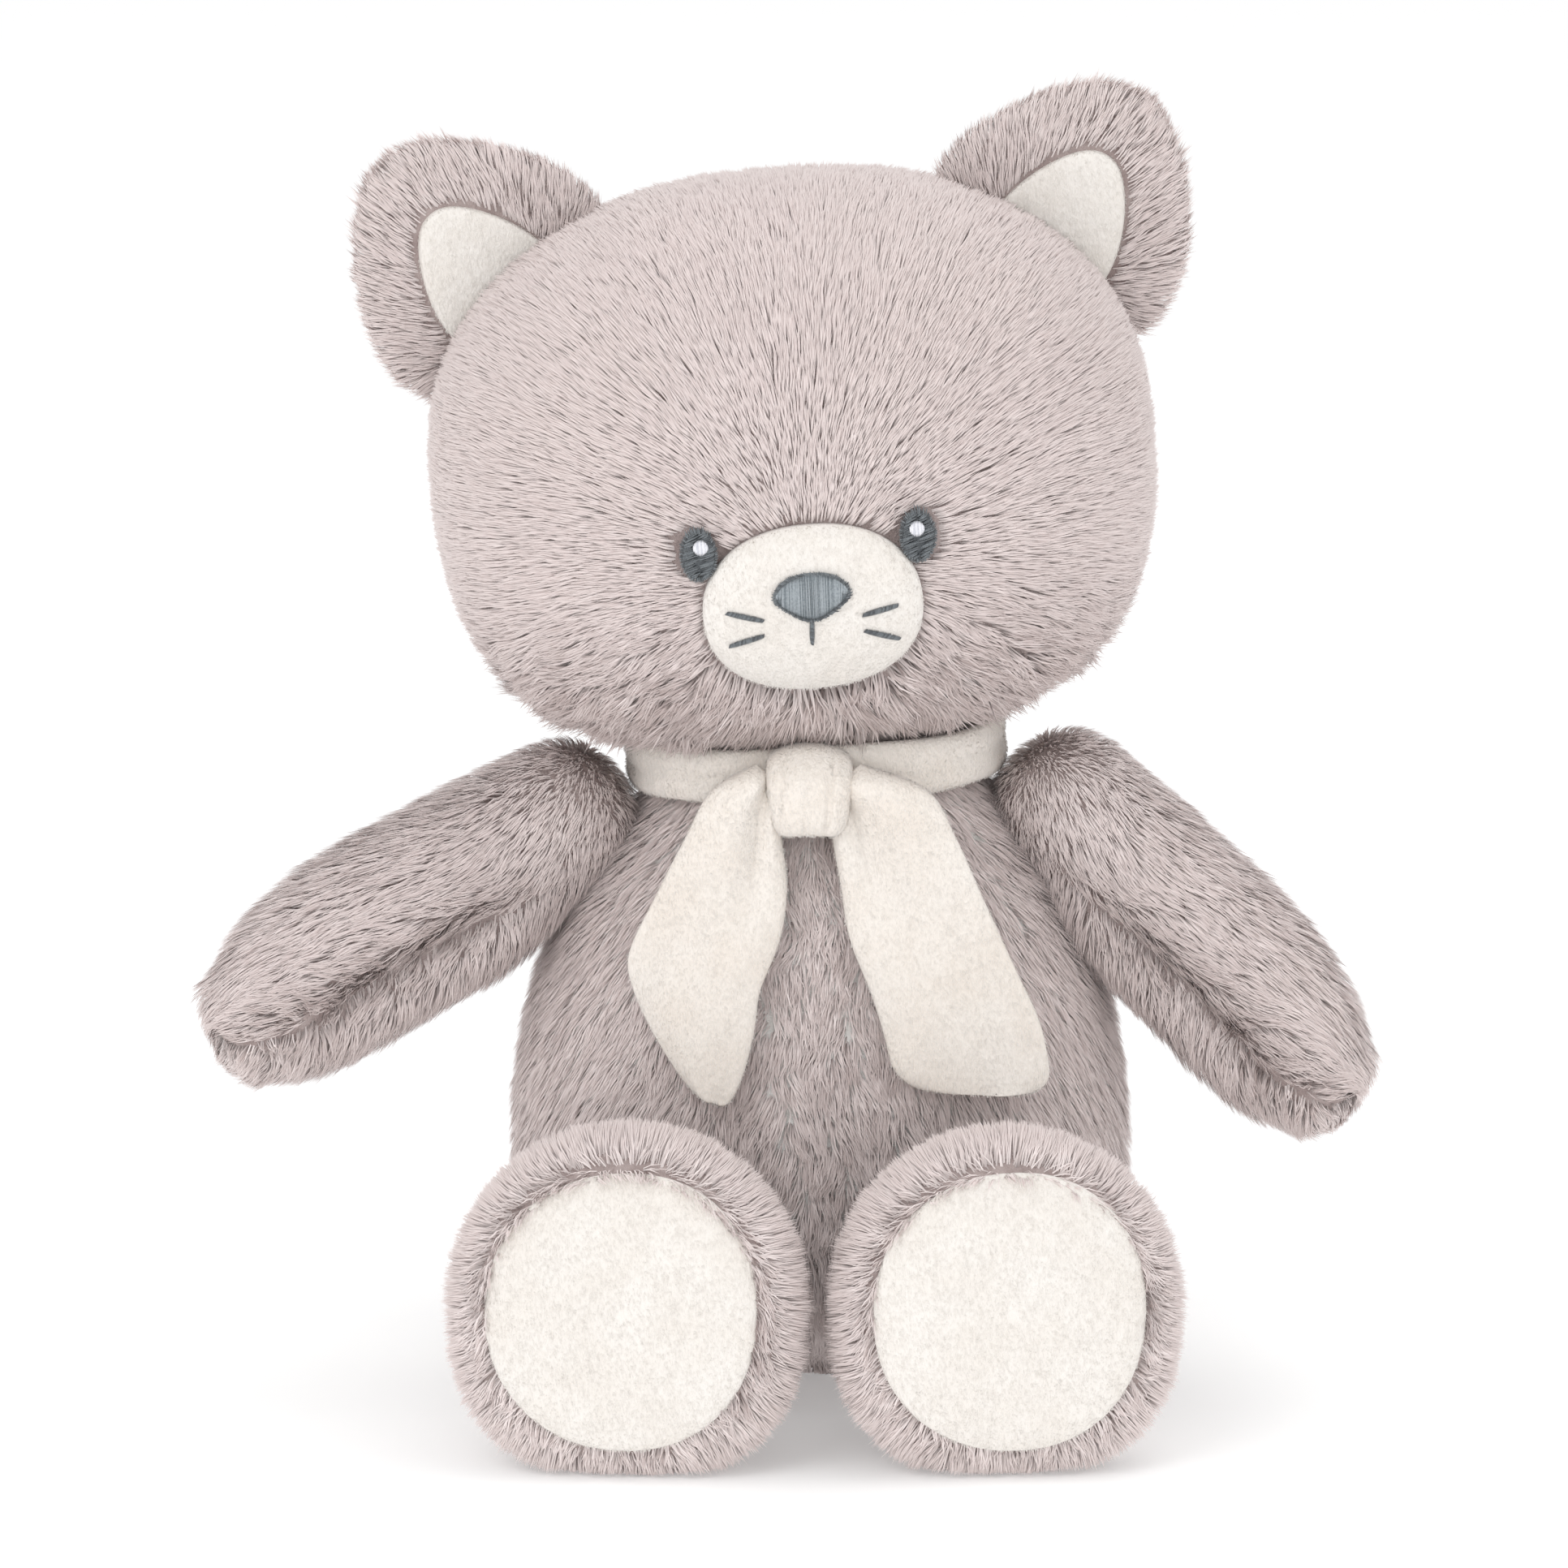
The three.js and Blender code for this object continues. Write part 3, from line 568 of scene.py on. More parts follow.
def padded_body(name: str, rings: Array, material: Material, slot: str, fill: float, *nodes: str) -> Piece:
    """A stuffed skin.

    Args:
        name: the piece's name.
        rings: its rings of points.
        material: its finish.
        slot: its record slot; not used.
        fill: how firmly it is stuffed, 0 to 1; not used.
        nodes: the CAD nodes that it stands for.

    Returns:
        The piece, dressed, with the CAD nodes that it stands for hidden.
    """
    piece = dress(ring_body(name, rings), material)
    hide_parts(*nodes)
    return piece


def ride_all(pieces: list[Piece], body: str) -> None:
    """Pieces that move with one body."""
    for piece in pieces:
        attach(piece, body)


def blend_all(pieces: list[Piece], far: str, start: Array, end: Array) -> None:
    """Pieces with their transforms baked into their meshes."""
    for piece in pieces:
        tuple(start)
        tuple(end)
        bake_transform(piece)


# ---------------------------------------------------------------- fur


@dataclass(frozen=True)
class Pile:
    """How a stretch of fur grows.

    Leans and lifts are shares along the lie and along the skin's normal, sway is how far the lie wanders,
    each tuft has a size and a pull towards its middle, and facing is how much a strand's own face shades it.
    """

    per_mm2: float = 2.9
    length: float = 8.5 * MM
    width: float = 0.33 * MM
    root_lean: float = 1.0
    tip_lean: float = 1.25
    tip_lift: float = 0.25
    sway: float = 0.26
    fine_tuft: float = 2.1 * MM
    fine_pull: float = 0.22
    broad_tuft: float = 8.0 * MM
    broad_pull: float = 0.13
    facing: float = 0.18


@dataclass(frozen=True)
class Patchwork:
    """A skin's grid of rings with its outward normals, which fur grows from."""

    rings: Array
    normals: Array = field(repr=False)

    @classmethod
    def of(cls, rings: Array) -> "Patchwork":
        """The grid with its normals worked out."""
        return cls(rings, ring_normals(rings))

    def roots(self, density: float, rng: np.random.Generator) -> tuple[Array, Array]:
        """Random places on the skin, even by area.

        Args:
            density: places per square metre.
            rng: the seeded source of chance.

        Returns:
            The places and their normals.
        """
        points, normals = self.rings, self.normals
        a, b = points[:-1], np.roll(points, -1, axis=1)[:-1]
        c, d = points[1:], np.roll(points, -1, axis=1)[1:]
        halves = np.cross(b - a, c - a), np.cross(b - d, c - d)
        area = (np.linalg.norm(halves[0], axis=-1) + np.linalg.norm(halves[1], axis=-1)) / 2
        count = int(area.sum() * density)
        cell = rng.choice(area.size, size=count, p=(area / area.sum()).ravel())
        u, v = rng.random((count, 1)), rng.random((count, 1))

        def blend(grid: Array) -> Array:
            """Bilinear value in each chosen cell."""
            after = np.roll(grid, -1, axis=1)
            e, f, g, h = (part.reshape(-1, 3)[cell] for part in (grid[:-1], after[:-1], grid[1:], after[1:]))
            return (e * (1 - u) + f * u) * (1 - v) + (g * (1 - u) + h * u) * v

        return blend(points), unit(blend(normals))


GRID_SHIFT = 4096          # cells on either side of the origin that still have numbers above 0


def cell_chance(cells: Array, salt: int) -> Array:
    """Three even random numbers for each whole-numbered cell, by mixing the bits of its place."""
    x, y, z = (cells[..., n].astype(np.int64).astype(np.uint64) for n in range(3))
    mixed = x * np.uint64(73856093) ^ y * np.uint64(19349663) ^ z * np.uint64(83492791)
    mixed = mixed ^ np.uint64(salt * 2654435761)
    numbers = []
    for step in range(3):
        mixed = (mixed ^ (mixed >> np.uint64(30))) * np.uint64(0xBF58476D1CE4E5B9)
        mixed = (mixed ^ (mixed >> np.uint64(27))) * np.uint64(0x94D049BB133111EB + 2 * step)
        mixed = mixed ^ (mixed >> np.uint64(31))
        numbers.append((mixed >> np.uint64(40)).astype(np.float64) / float(1 << 24))
    return np.stack(numbers, -1)


def tuft_of(points: Array, size: float, salt: int) -> tuple[Array, Array]:
    """The tuft that each strand belongs to.

    Args:
        points: the strands' roots.
        size: how far apart tufts stand.
        salt: which of the independent patterns of tufts.

    Returns:
        The middle of each strand's nearest tuft and that tuft's three random numbers: one jittered
        middle stands in each cube of a grid, and the nearest of the 27 about a root wins.
    """
    base = np.floor(points / size)
    best = np.full(len(points), np.inf)
    middle, chance = np.zeros_like(points), np.zeros_like(points)
    steps = np.stack(np.meshgrid(*[[-1, 0, 1]] * 3, indexing="ij"), -1).reshape(-1, 3)
    for step in steps:
        cells = base + step
        numbers = cell_chance(cells + GRID_SHIFT, salt)
        spot = (cells + 0.15 + 0.7 * numbers) * size
        away = ((spot - points) ** 2).sum(-1)
        nearer = away < best
        best[nearer], middle[nearer], chance[nearer] = away[nearer], spot[nearer], numbers[nearer]
    return middle, chance


MOST_TWIST = 0.45          # radians that a strand's flat face is turned at most
ROOT_DEPTH = 0.6 * MM      # how far a strand's root is sunk in the ground
STRAND_POINTS = 5          # two at the root, two at the middle and the tip
Comb = Callable[[Array, Array], Array]
Amount = Callable[[Array], Array]


def everywhere(points: Array) -> Array:
    """The amount 1 at every point."""
    return np.ones(len(points))


@dataclass
class Strands:
    """Grown strands: root, middle and tip, with what shades them."""

    root: Array
    middle: Array
    tip: Array
    normal: Array
    across: Array
    width: Array
    tone: Array
    facing: Array

    def chosen(self, pick: Array) -> "Strands":
        """The strands that pick marks or numbers."""
        return Strands(*(getattr(self, name)[pick] for name in self.__dataclass_fields__))


def grow(skin: Patchwork, pile: Pile, comb: Comb, seed: int, length_at: Amount = everywhere,
         ruffle_at: Amount = everywhere, tone_at: Amount = everywhere) -> Strands:
    """Grows fur on a skin.

    Args:
        skin: the grid that it grows from.
        pile: length, width, lean and tufting.
        comb: gives the lie of the fur at places with normals.
        seed: fixes the chance.
        length_at: scales each strand by its place.
        ruffle_at: scales how strongly strands gather into tufts, swing and vary; more also darkens them, as
            painted shade in and under the tufts, and less pales them.
        tone_at: scales how pale each strand is by its place.

    Returns:
        The strands. Each follows root + L (d0 (t - t^2/2) + d1 t^2/2), which turns from the root's
        direction d0 to the tip's direction d1, and is then drawn to the middle of its tufts.
    """
    rng = np.random.default_rng(seed)
    root, normal = skin.roots(pile.per_mm2 / MM**2, rng)
    count = len(root)
    broad, broad_chance = tuft_of(root, pile.broad_tuft, seed)
    fine, fine_chance = tuft_of(root, pile.fine_tuft, seed + 7)
    lie = unit(flat_along(comb(root, normal), normal))
    side = np.cross(normal, lie)
    ruffle = ruffle_at(root)[:, None]
    swing = pile.sway * (1.5 * (broad_chance[:, :1] - 0.5) + 1.2 * (fine_chance[:, :1] - 0.5)
                         + rng.normal(0, 0.35, (count, 1))) * (0.35 + 0.65 * ruffle)
    lie = unit(lie + swing * side)
    wild = (0.3 * (broad_chance[:, 1:2] - 0.5) + 0.35 * (fine_chance[:, 1:2] - 0.5)
            + rng.normal(0, 0.08, (count, 1)))
    lean = 1.08 + wild * (0.3 + 0.7 * ruffle)
    first = unit(normal + pile.root_lean * lean * lie)
    last = unit(pile.tip_lift * normal + pile.tip_lean * lean * lie)
    length = pile.length * (0.78 + 0.22 * fine_chance[:, 2:3] + rng.normal(0, 0.08, (count, 1)))
    length = length * length_at(root)[:, None]
    middle = root + length * (0.375 * first + 0.125 * last)
    tip = root + length * 0.5 * (first + last)
    pull = pile.broad_pull * flat_along(broad - root, normal)
    pull = (pull + pile.fine_pull * flat_along(fine - root, normal)) * ruffle**1.3
    middle, tip = middle + 0.35 * pull, tip + pull
    flow = unit(tip - root)
    across = unit(np.cross(flow, normal))
    twist = rng.uniform(-MOST_TWIST, MOST_TWIST, (count, 1))
    across = unit(np.cos(twist) * across + np.sin(twist) * np.cross(flow, across))
    patchy = 0.10 * (broad_chance[:, 2] - 0.5) + 0.16 * (fine_chance[:, 0] - 0.5) + rng.normal(0, 0.07, count)
    # painted shade: the -0.19 (ruffle - 1) term darkens ruffled fur and pales sleek fur
    tone = (0.60 + patchy * ruffle[:, 0] - 0.19 * (ruffle[:, 0] - 1)) * tone_at(root)
    width = pile.width * rng.uniform(0.75, 1.25, count)
    return Strands(root - ROOT_DEPTH * normal, middle, tip, normal, across, width, np.clip(tone, 0.02, 0.98),
                   np.full(count, pile.facing))


def strand_mesh(name: str, strands: Strands, material: Material) -> Piece:
    """One piece of fur: each strand is a tapered ribbon of a quad and a triangle, with shading that
    leans towards the skin's own normal, and a map whose u is its tone and v runs from root to tip."""
    half = 0.5 * strands.width[:, None] * strands.across
    points = np.stack([strands.root - half, strands.root + half, strands.middle + 0.85 * half,
                       strands.middle - 0.85 * half, strands.tip], 1)
    facing = unit(np.cross(half, strands.tip - strands.root))
    flip = (facing * strands.normal).sum(-1) < 0
    points[flip] = points[flip][:, [1, 0, 3, 2, 4]]
    facing[flip] *= -1
    points[..., 2] = np.maximum(points[..., 2], FUR_FLOOR)
    quad, triangle = [0, 1, 2, 3], [3, 2, 4]
    jump = np.arange(len(points))[:, None] * STRAND_POINTS
    piece = make_mesh(name, points.reshape(-1, 3), jump + np.array([quad]), jump + np.array([triangle]))
    spread = 0.006 * np.array([[-1, 1, 1, -1, 0]])
    u = np.clip(strands.tone[:, None] + spread, 0.001, 0.999)
    v = np.broadcast_to([[0.02, 0.02, 0.5, 0.5, 0.98]], u.shape)
    chart = np.stack([u, v], -1)
    corners = np.concatenate([chart[:, quad].reshape(-1, 2), chart[:, triangle].reshape(-1, 2)])
    piece.data.uv_layers.new(name=STRAND_MAP).data.foreach_set("uv", corners.astype(np.float32).ravel())
    share = strands.facing[:, None]
    shade = unit((1 - share) * strands.normal + share * facing)
    shade = np.repeat(shade, STRAND_POINTS, axis=0).astype(np.float32)
    piece.data.normals_split_custom_set_from_vertices(shade)
    return dress(piece, material)


MOST_STRANDS = 62_000      # in one piece of fur


def fur_pieces(name: str, strands: Strands, material: Material) -> list[Piece]:
    """Fur split from front to back into pieces that stay small."""
    order = np.argsort(strands.root[:, 1], kind="stable")
    parts = np.array_split(order, math.ceil(len(order) / MOST_STRANDS))
    names = [name] if len(parts) == 1 else [f"{name}_{n + 1}" for n in range(len(parts))]
    return [strand_mesh(word, strands.chosen(part), material) for word, part in zip(names, parts)]


NAP = Pile(per_mm2=3.6, length=0.95 * MM, width=0.15 * MM, root_lean=0.8, tip_lean=1.2, tip_lift=0.3,
           sway=0.7, fine_tuft=1.2 * MM, fine_pull=0.08, broad_tuft=6 * MM, broad_pull=0.0, facing=0.04)


def nap_pieces(name: str, rings: Array, material: Material, seed: int) -> list[Piece]:
    """The short brushed nap of a velour piece, combed down."""

    def comb(points: Array, normals: Array) -> Array:
        """Down, and a little to the cat's left."""
        return np.broadcast_to([0.15, 0.0, -1.0], points.shape)

    return fur_pieces(name, grow(Patchwork.of(rings), NAP, comb, seed), material)


# ---------------------------------------------------------------- sub-assemblies


def pivot_of(name: str) -> Array:
    """The pivot of the frame's joint of this name."""
    joint = next(joint for joint in frame["joints"] if joint["name"] == name)
    return np.array(joint["pos_m"], float)


@dataclass
class Head:
    """The head: a superellipsoid whose roundness changes from crown to jowls, held with a slight roll."""

    finishes: Finishes
    half_width: float = 81.5 * MM
    half_depth: float = 59 * MM
    half_height: float = 63.8 * MM
    crown_round: float = 2.3
    jowl_round: float = 2.7
    round_blend: float = 22 * MM
    centre: tuple = (-4.5 * MM, -4 * MM, 212.8 * MM)
    roll: float = math.radians(-4.7)
    turn: float = math.radians(2.7)
    muzzle_z: float = -25.9 * MM
    muzzle_half: tuple = (24.6 * MM, 19.3 * MM)
    muzzle_round: float = 2.2
    muzzle_crown: float = 2.4 * MM
    eye_x: float = 24.5 * MM
    eye_z: float = -11.4 * MM
    eye_half: tuple = (4.2 * MM, 5.8 * MM)

    def __post_init__(self) -> None:
        """The head's frame: turned about Z, then rolled about Y."""
        roll = turn_matrix(np.array([0.0, 1.0, 0.0]), self.roll)
        self.matrix = roll @ turn_matrix(np.array([0.0, 0.0, 1.0]), self.turn)

    def world(self, points: Array) -> Array:
        """Points of the head's frame in the row frame."""
        return points @ self.matrix.T + np.array(self.centre)

    def local(self, points: Array) -> Array:
        """Points of the row frame in the head's frame."""
        return (points - np.array(self.centre)) @ self.matrix

    def roundness(self, z: Array) -> Array:
        """The superellipse's exponent at a height."""
        mean, part = (self.crown_round + self.jowl_round) / 2, (self.crown_round - self.jowl_round) / 2
        return mean + part * np.tanh(z / self.round_blend)

    def front(self, x: Array, z: Array, inset: float = 0.0) -> Array:
        """Where the front of the head stands: y with |x/a|^n + |y/b|^n + |z/c|^n = 1."""
        n = self.roundness(z)
        rest = 1 - np.abs(x / (self.half_width - inset)) ** n - np.abs(z / (self.half_height - inset)) ** n
        return -(self.half_depth - inset) * np.maximum(rest, 0) ** (1 / n)

    def rings(self, inset: float, rows: int, columns: int) -> Array:
        """Level rings from chin to crown, in the head's frame."""
        rise = -np.cos(np.pi * (np.arange(rows) + 0.3) / (rows - 0.4))
        height = self.half_height - inset
        n = self.roundness(rise * height)
        spread = (1 - np.abs(rise) ** n) ** (1 / n)
        angle = full_turn(columns)
        power = (2 / n)[:, None]
        x = (self.half_width - inset) * spread[:, None] * signed_power(np.cos(angle)[None], power)
        y = (self.half_depth - inset) * spread[:, None] * signed_power(np.sin(angle)[None], power)
        return np.stack([x, y, np.broadcast_to((rise * height)[:, None], x.shape)], -1)

    def in_oval(self, points: Array, x: float, z: float, half: tuple, grown: float) -> Array:
        """Whether points on the front lie in an oval, grown by a factor."""
        u, w = (points[:, 0] - x) / (half[0] * grown), (points[:, 2] - z) / (half[1] * grown)
        return (points[:, 1] < 0) & (np.abs(u) ** 2.2 + np.abs(w) ** 2.2 < 1)

    def inside(self, points: Array, level: float) -> Array:
        """Whether points of the row frame lie within the head's shape, shrunk to a level below 1."""
        local = np.abs(self.local(points))
        n = self.roundness(self.local(points)[:, 2])
        return ((local[:, 0] / self.half_width) ** n + (local[:, 1] / self.half_depth) ** n
                + (local[:, 2] / self.half_height) ** n) < level

    def comb(self, points: Array, normals: Array) -> Array:
        """Fur lies away from the muzzle on the front and hangs down the back."""
        local = self.local(points)
        away = unit(local - np.array([0.0, -self.half_depth, self.muzzle_z]))
        behind = smooth_step(local[:, 1], -10 * MM, 34 * MM)[:, None]
        ones = everywhere(points)
        hang = np.stack([0.5 * local[:, 0] / self.half_width, 0.15 * ones, -ones], -1)
        return ((1 - behind) * away + behind * hang) @ self.matrix.T + np.array([0.0, 0.0, -0.2])

    def jowl(self, points: Array) -> Array:
        """How far down the jowls each point is: 0 on the cheeks and 1 under the chin."""
        return smooth_step(-self.local(points)[:, 2], 18 * MM, 50 * MM)

    def ruffle_at(self, points: Array) -> Array:
        """Fur is sleek on the crown and ruffled under the chin."""
        return 0.33 + 2.2 * self.jowl(points)

    def tone_at(self, points: Array) -> Array:
        """Fur is a little darker above the chin than under it."""
        return 0.87 + 0.13 * self.jowl(points)

    def length_at(self, points: Array) -> Array:
        """Fur is clipped shorter on the brow and beside the muzzle, and hangs longer under the chin."""
        local = self.local(points)
        near = np.linalg.norm(local - np.array([0.0, -self.half_depth, self.muzzle_z]), axis=1)
        chin = smooth_step(-local[:, 2], 30 * MM, 52 * MM)
        middle = np.exp(-((local[:, 0] / (14 * MM)) ** 2))
        return 0.66 + 0.18 * smooth_step(near, 24 * MM, 60 * MM) + (0.42 + 0.3 * middle) * chin

    def build_skin(self) -> None:
        """The head's fabric body and its fur."""
        rings = self.world(self.rings(SKIN_INSET, 46, 72))
        skin = padded_body("head_skin", rings, self.finishes.backing, "fur", 0.9, "head_shell")
        pile = Pile(per_mm2=3.1, root_lean=1.25, length=8.8 * MM, width=0.42 * MM, facing=0.12)
        strands = grow(Patchwork.of(rings), pile, self.comb, Seed.HEAD, self.length_at, self.ruffle_at,
                       self.tone_at)
        root, tip = self.local(strands.root), self.local(strands.tip)
        hidden = self.in_oval(root, 0.0, self.muzzle_z, self.muzzle_half, 0.96)
        hidden |= self.in_oval(tip, 0.0, self.muzzle_z, self.muzzle_half, 0.97)
        for side in Side:
            for spot in (root, self.local(strands.middle), tip):
                hidden |= self.in_oval(spot, side.value * self.eye_x, self.eye_z, self.eye_half, 0.98)
        ride_all([skin, *fur_pieces("head_fur", strands.chosen(~hidden), self.finishes.pile)], "head")

    def patch_rings(self, x: float, z: float, outline: tuple[Array, Array], lift: float, edge: float,
                    crown: float, rows: int = 14) -> Array:
        """A domed patch on the face.

        Args:
            x: across, of its middle.
            z: height of its middle.
            outline: offsets of its edge from the middle, across and up.
            lift: how far its underside stands off the head.
            edge: thickness at the rim.
            crown: how much fuller it is in the middle.
            rows: rings from the middle to the rim.

        Returns:
            Rings from the middle of the underside, round the rolled rim, to the middle of the top.
            Height over the head is lift + edge * rim(f) + crown * (1 - f^2.5), f from 0 to 1 at the rim.
        """
        f = out_and_back(rows)
        over = f[rows:, 0]
        px, pz = x + f * outline[0][None], z + f * outline[1][None]
        rim = np.sqrt(np.clip(1 - over**8, 0, 1)) * 0.5 + 0.5
        height = np.concatenate([np.full(rows, lift), lift + edge * rim + crown * (1 - over**2.5)])[:, None]
        return np.stack([px, self.front(px, pz) - height, pz], -1)

    def muzzle_top(self, x: Array, z: Array) -> Array:
        """The muzzle's top surface, which the nose and stitches lie on."""
        power = self.muzzle_round
        half_x, half_z = self.muzzle_half
        f = np.abs(x / half_x) ** power + np.abs((z - self.muzzle_z) / half_z) ** power
        f = np.clip(f, 0, 1) ** (1 / power)
        return self.front(x, z) - (3.4 * MM + self.muzzle_crown * (1 - f**2.5))

    def build_muzzle(self) -> None:
        """The cream muzzle patch, a rounded oval with a turned-in rim."""
        rows = 20
        angle = full_turn(96)
        power = 2 / self.muzzle_round
        outline = (self.muzzle_half[0] * signed_power(np.cos(angle), power),
                   self.muzzle_half[1] * signed_power(np.sin(angle), power))
        rings = self.patch_rings(0.0, self.muzzle_z, outline, -1.4 * MM, 4.8 * MM, self.muzzle_crown, rows)
        rings = self.world(rings)
        piece = padded_body("muzzle", rings, self.finishes.velour, "velour", 0.4, "muzzle_patch")
        nap = nap_pieces("muzzle_nap", rings[rows:], self.finishes.nap, Seed.MUZZLE)
        ride_all([piece, *nap], "head")

    def stitches(self, name: str, ends: Array, surface: Callable, radius: float, rise: Array | float,
                 material: Material, node: str, segments: int = 5) -> None:
        """Satin stitches between pairs of points on the face.

        Args:
            name: the piece's name.
            ends: (n, 2, 2), each stitch's two ends as across and up.
            surface: gives y at across and up.
            radius: half the thread.
            rise: the arch of each stitch.
            material: thread colour.
            node: the CAD node that the piece stands for, or nothing.
            segments: spans along each stitch.
        """
        x, z = ends[..., 0], ends[..., 1]
        places = np.stack([x, surface(x, z), z], -1)
        normals = np.broadcast_to(np.array([0.0, -1.0, 0.0]), places[:, 0].shape)
        bundle = thread_bundle(name, self.world(places[:, 0]), self.world(places[:, 1]),
                               normals @ self.matrix.T, radius, rise, segments)
        piece = dress(bundle, material)
        if node:
            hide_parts(node)
        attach(piece, "head")

    def build_eye(self, side: Side) -> None:
        """An oval of close slanting threads, a spiky border of short stitches and a white highlight."""
        rng = np.random.default_rng(Seed.EYE + side.value)
        thread = self.finishes.thread
        x0, z0 = side.value * self.eye_x, self.eye_z
        half_x, half_z = self.eye_half
        angle = full_turn(48)
        outline = (half_x * 0.96 * np.cos(angle), half_z * 0.96 * np.sin(angle))
        base = self.world(self.patch_rings(x0, z0, outline, -1.6 * MM, 3.0 * MM, 0.9 * MM, 8))
        pad = dress(ring_body(f"{side.word}_eye_pad", base), thread)
        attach(pad, "head")

        def surface(x: Array, z: Array) -> Array:
            """The pad's top, which the threads lie on."""
            return self.front(x, z) - 1.5 * MM

        pitch = 0.27 * MM      # from thread to thread
        level = np.arange(-half_z + pitch, half_z, pitch)
        reach = half_x * np.sqrt(1 - (level / half_z) ** 2)
        split = rng.uniform(-0.25, 0.25, len(level)) * reach
        slant = 0.55 * MM
        ends = []
        for low, high in ((-reach, split), (split, reach)):
            left = x0 + low + rng.normal(0, 0.1 * MM, len(level))
            right = x0 + high + rng.normal(0, 0.1 * MM, len(level))
            ends.append(stitch_ends(left, z0 + level - slant, right, z0 + level + slant))
        rise = 0.25 * MM + 0.95 * MM * np.sqrt(np.clip(1 - (level / half_z) ** 2, 0, 1))
        self.stitches(f"{side.word}_eye_threads", np.concatenate(ends), surface, 0.17 * MM, np.tile(rise, 2),
                      thread, f"{side.word}_eye")
        spikes = 64
        turn = full_turn(spikes) + rng.normal(0, 0.02, spikes)
        spike = 1 + (0.04 + 0.13 * np.clip(np.sin(turn), 0, 1) ** 2) * rng.uniform(0.3, 1.6, spikes)
        slip = turn + 0.05
        rim = stitch_ends(x0 + 0.80 * half_x * np.cos(turn), z0 + 0.82 * half_z * np.sin(turn),
                          x0 + spike * half_x * np.cos(slip), z0 + spike * half_z * np.sin(slip))
        self.stitches(f"{side.word}_eye_border", rim, surface, 0.17 * MM, 0.9 * MM, thread,
                      "")
        gx, gz = x0 + (0.2 - 0.35 * side.value) * MM, z0 + 1.9 * MM
        column = np.linspace(-1.5, 1.5, 13) * MM
        tall = 1.8 * MM * np.sqrt(1 - (column / (1.65 * MM)) ** 2)
        glint = stitch_ends(gx + column, gz - tall, gx + column, gz + tall)
        self.stitches(f"{side.word}_highlight", glint, lambda x, z: self.front(x, z) - 2.6 * MM, 0.19 * MM,
                      0.35 * MM, self.finishes.glint, f"{side.word}_eye_glint")

    def build_nose(self) -> None:
        """The nose: close upright threads inside a rim of short stitches, round on top and pointed below."""
        rng = np.random.default_rng(Seed.NOSE)
        half_x, half_z, z0 = 9.0 * MM, 5.8 * MM, -22.2 * MM

        def edge(angle: Array, grown: Array | float) -> Array:
            """The outline, narrowing towards its lower point."""
            low = np.clip(-np.sin(angle), 0, 1)
            x = half_x * signed_power(np.cos(angle), 0.85) * (1 - 0.5 * low**1.3)
            return np.stack([grown * x - 0.3 * MM, z0 + grown * half_z * np.sin(angle)], -1)

        rim = edge(full_turn(64), 0.97)
        over = self.patch_rings(0.0, z0, (rim[:, 0], rim[:, 1] - z0), 0.0, 0.0, 0.0, 8)
        rows = over.shape[0] // 2
        dome = 0.3 + 0.5 * (1 - np.linspace(1, 0, rows) ** 2)
        fullness = np.concatenate([np.full(rows, -1.0), dome])[:, None] * MM
        over[..., 1] = self.muzzle_top(over[..., 0], over[..., 2]) - fullness
        pad = dress(ring_body("nose_pad", self.world(over)), self.finishes.nose)
        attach(pad, "head")

        def surface(x: Array, z: Array) -> Array:
            """The pad's top, which the threads lie on."""
            return self.muzzle_top(x, z) - 0.45 * MM

        columns = np.linspace(-0.93, 0.93, 64)
        top_turn = np.arccos(np.clip(columns, -1, 1))
        upper = edge(top_turn, 0.93)
        lower_turn = 2 * np.pi - np.arccos(np.clip(np.sign(columns) * np.abs(columns) ** (1 / 0.85), -1, 1))
        lower = edge(lower_turn, 0.93)
        lower = lower[np.argsort(lower[:, 0])]
        low_z = np.interp(upper[:, 0], lower[:, 0], lower[:, 1], left=z0, right=z0)
        wobble = rng.normal(0, 0.10 * MM, (2, len(columns)))
        ends = stitch_ends(upper[:, 0] + 0.2 * MM, upper[:, 1] + wobble[0],
                           upper[:, 0] - 0.2 * MM, low_z + wobble[1])
        self.stitches("nose_threads", ends, surface, 0.16 * MM, 0.75 * MM, self.finishes.nose,
                      "nose", 7)
        turn = full_turn(110)
        ragged = 1.0 + rng.normal(0, 0.02, len(turn))
        rim_ends = np.stack([edge(turn - 0.03, 0.86), edge(turn + 0.03, ragged)], 1)
        self.stitches("nose_border", rim_ends, surface, 0.18 * MM, 0.75 * MM, self.finishes.thread,
                      "")

    def bar(self, name: str, start: tuple, end: tuple, node: str, half: float = 0.74 * MM) -> None:
        """A narrow bar of slanting stitches from start to end, thinner at its ends."""
        begin, stop = np.array(start), np.array(end)
        length = float(np.linalg.norm(stop - begin))
        count = max(int(length / (0.27 * MM)), 6)
        t = np.linspace(0, 1, count)
        along = (stop - begin) / length
        side = np.array([-along[1], along[0]])
        girth = half * (0.45 + 0.55 * np.sin(np.pi * np.clip(t * 0.9 + 0.05, 0, 1)) ** 0.5)[:, None]
        middle = begin + t[:, None] * (stop - begin)
        lean = 0.32 * MM * along
        ends = np.stack([middle - girth * side - lean, middle + girth * side + lean], 1)
        self.stitches(name, ends, lambda x, z: self.muzzle_top(x, z) - 0.05 * MM, 0.19 * MM, 0.62 * MM,
                      self.finishes.thread, node)

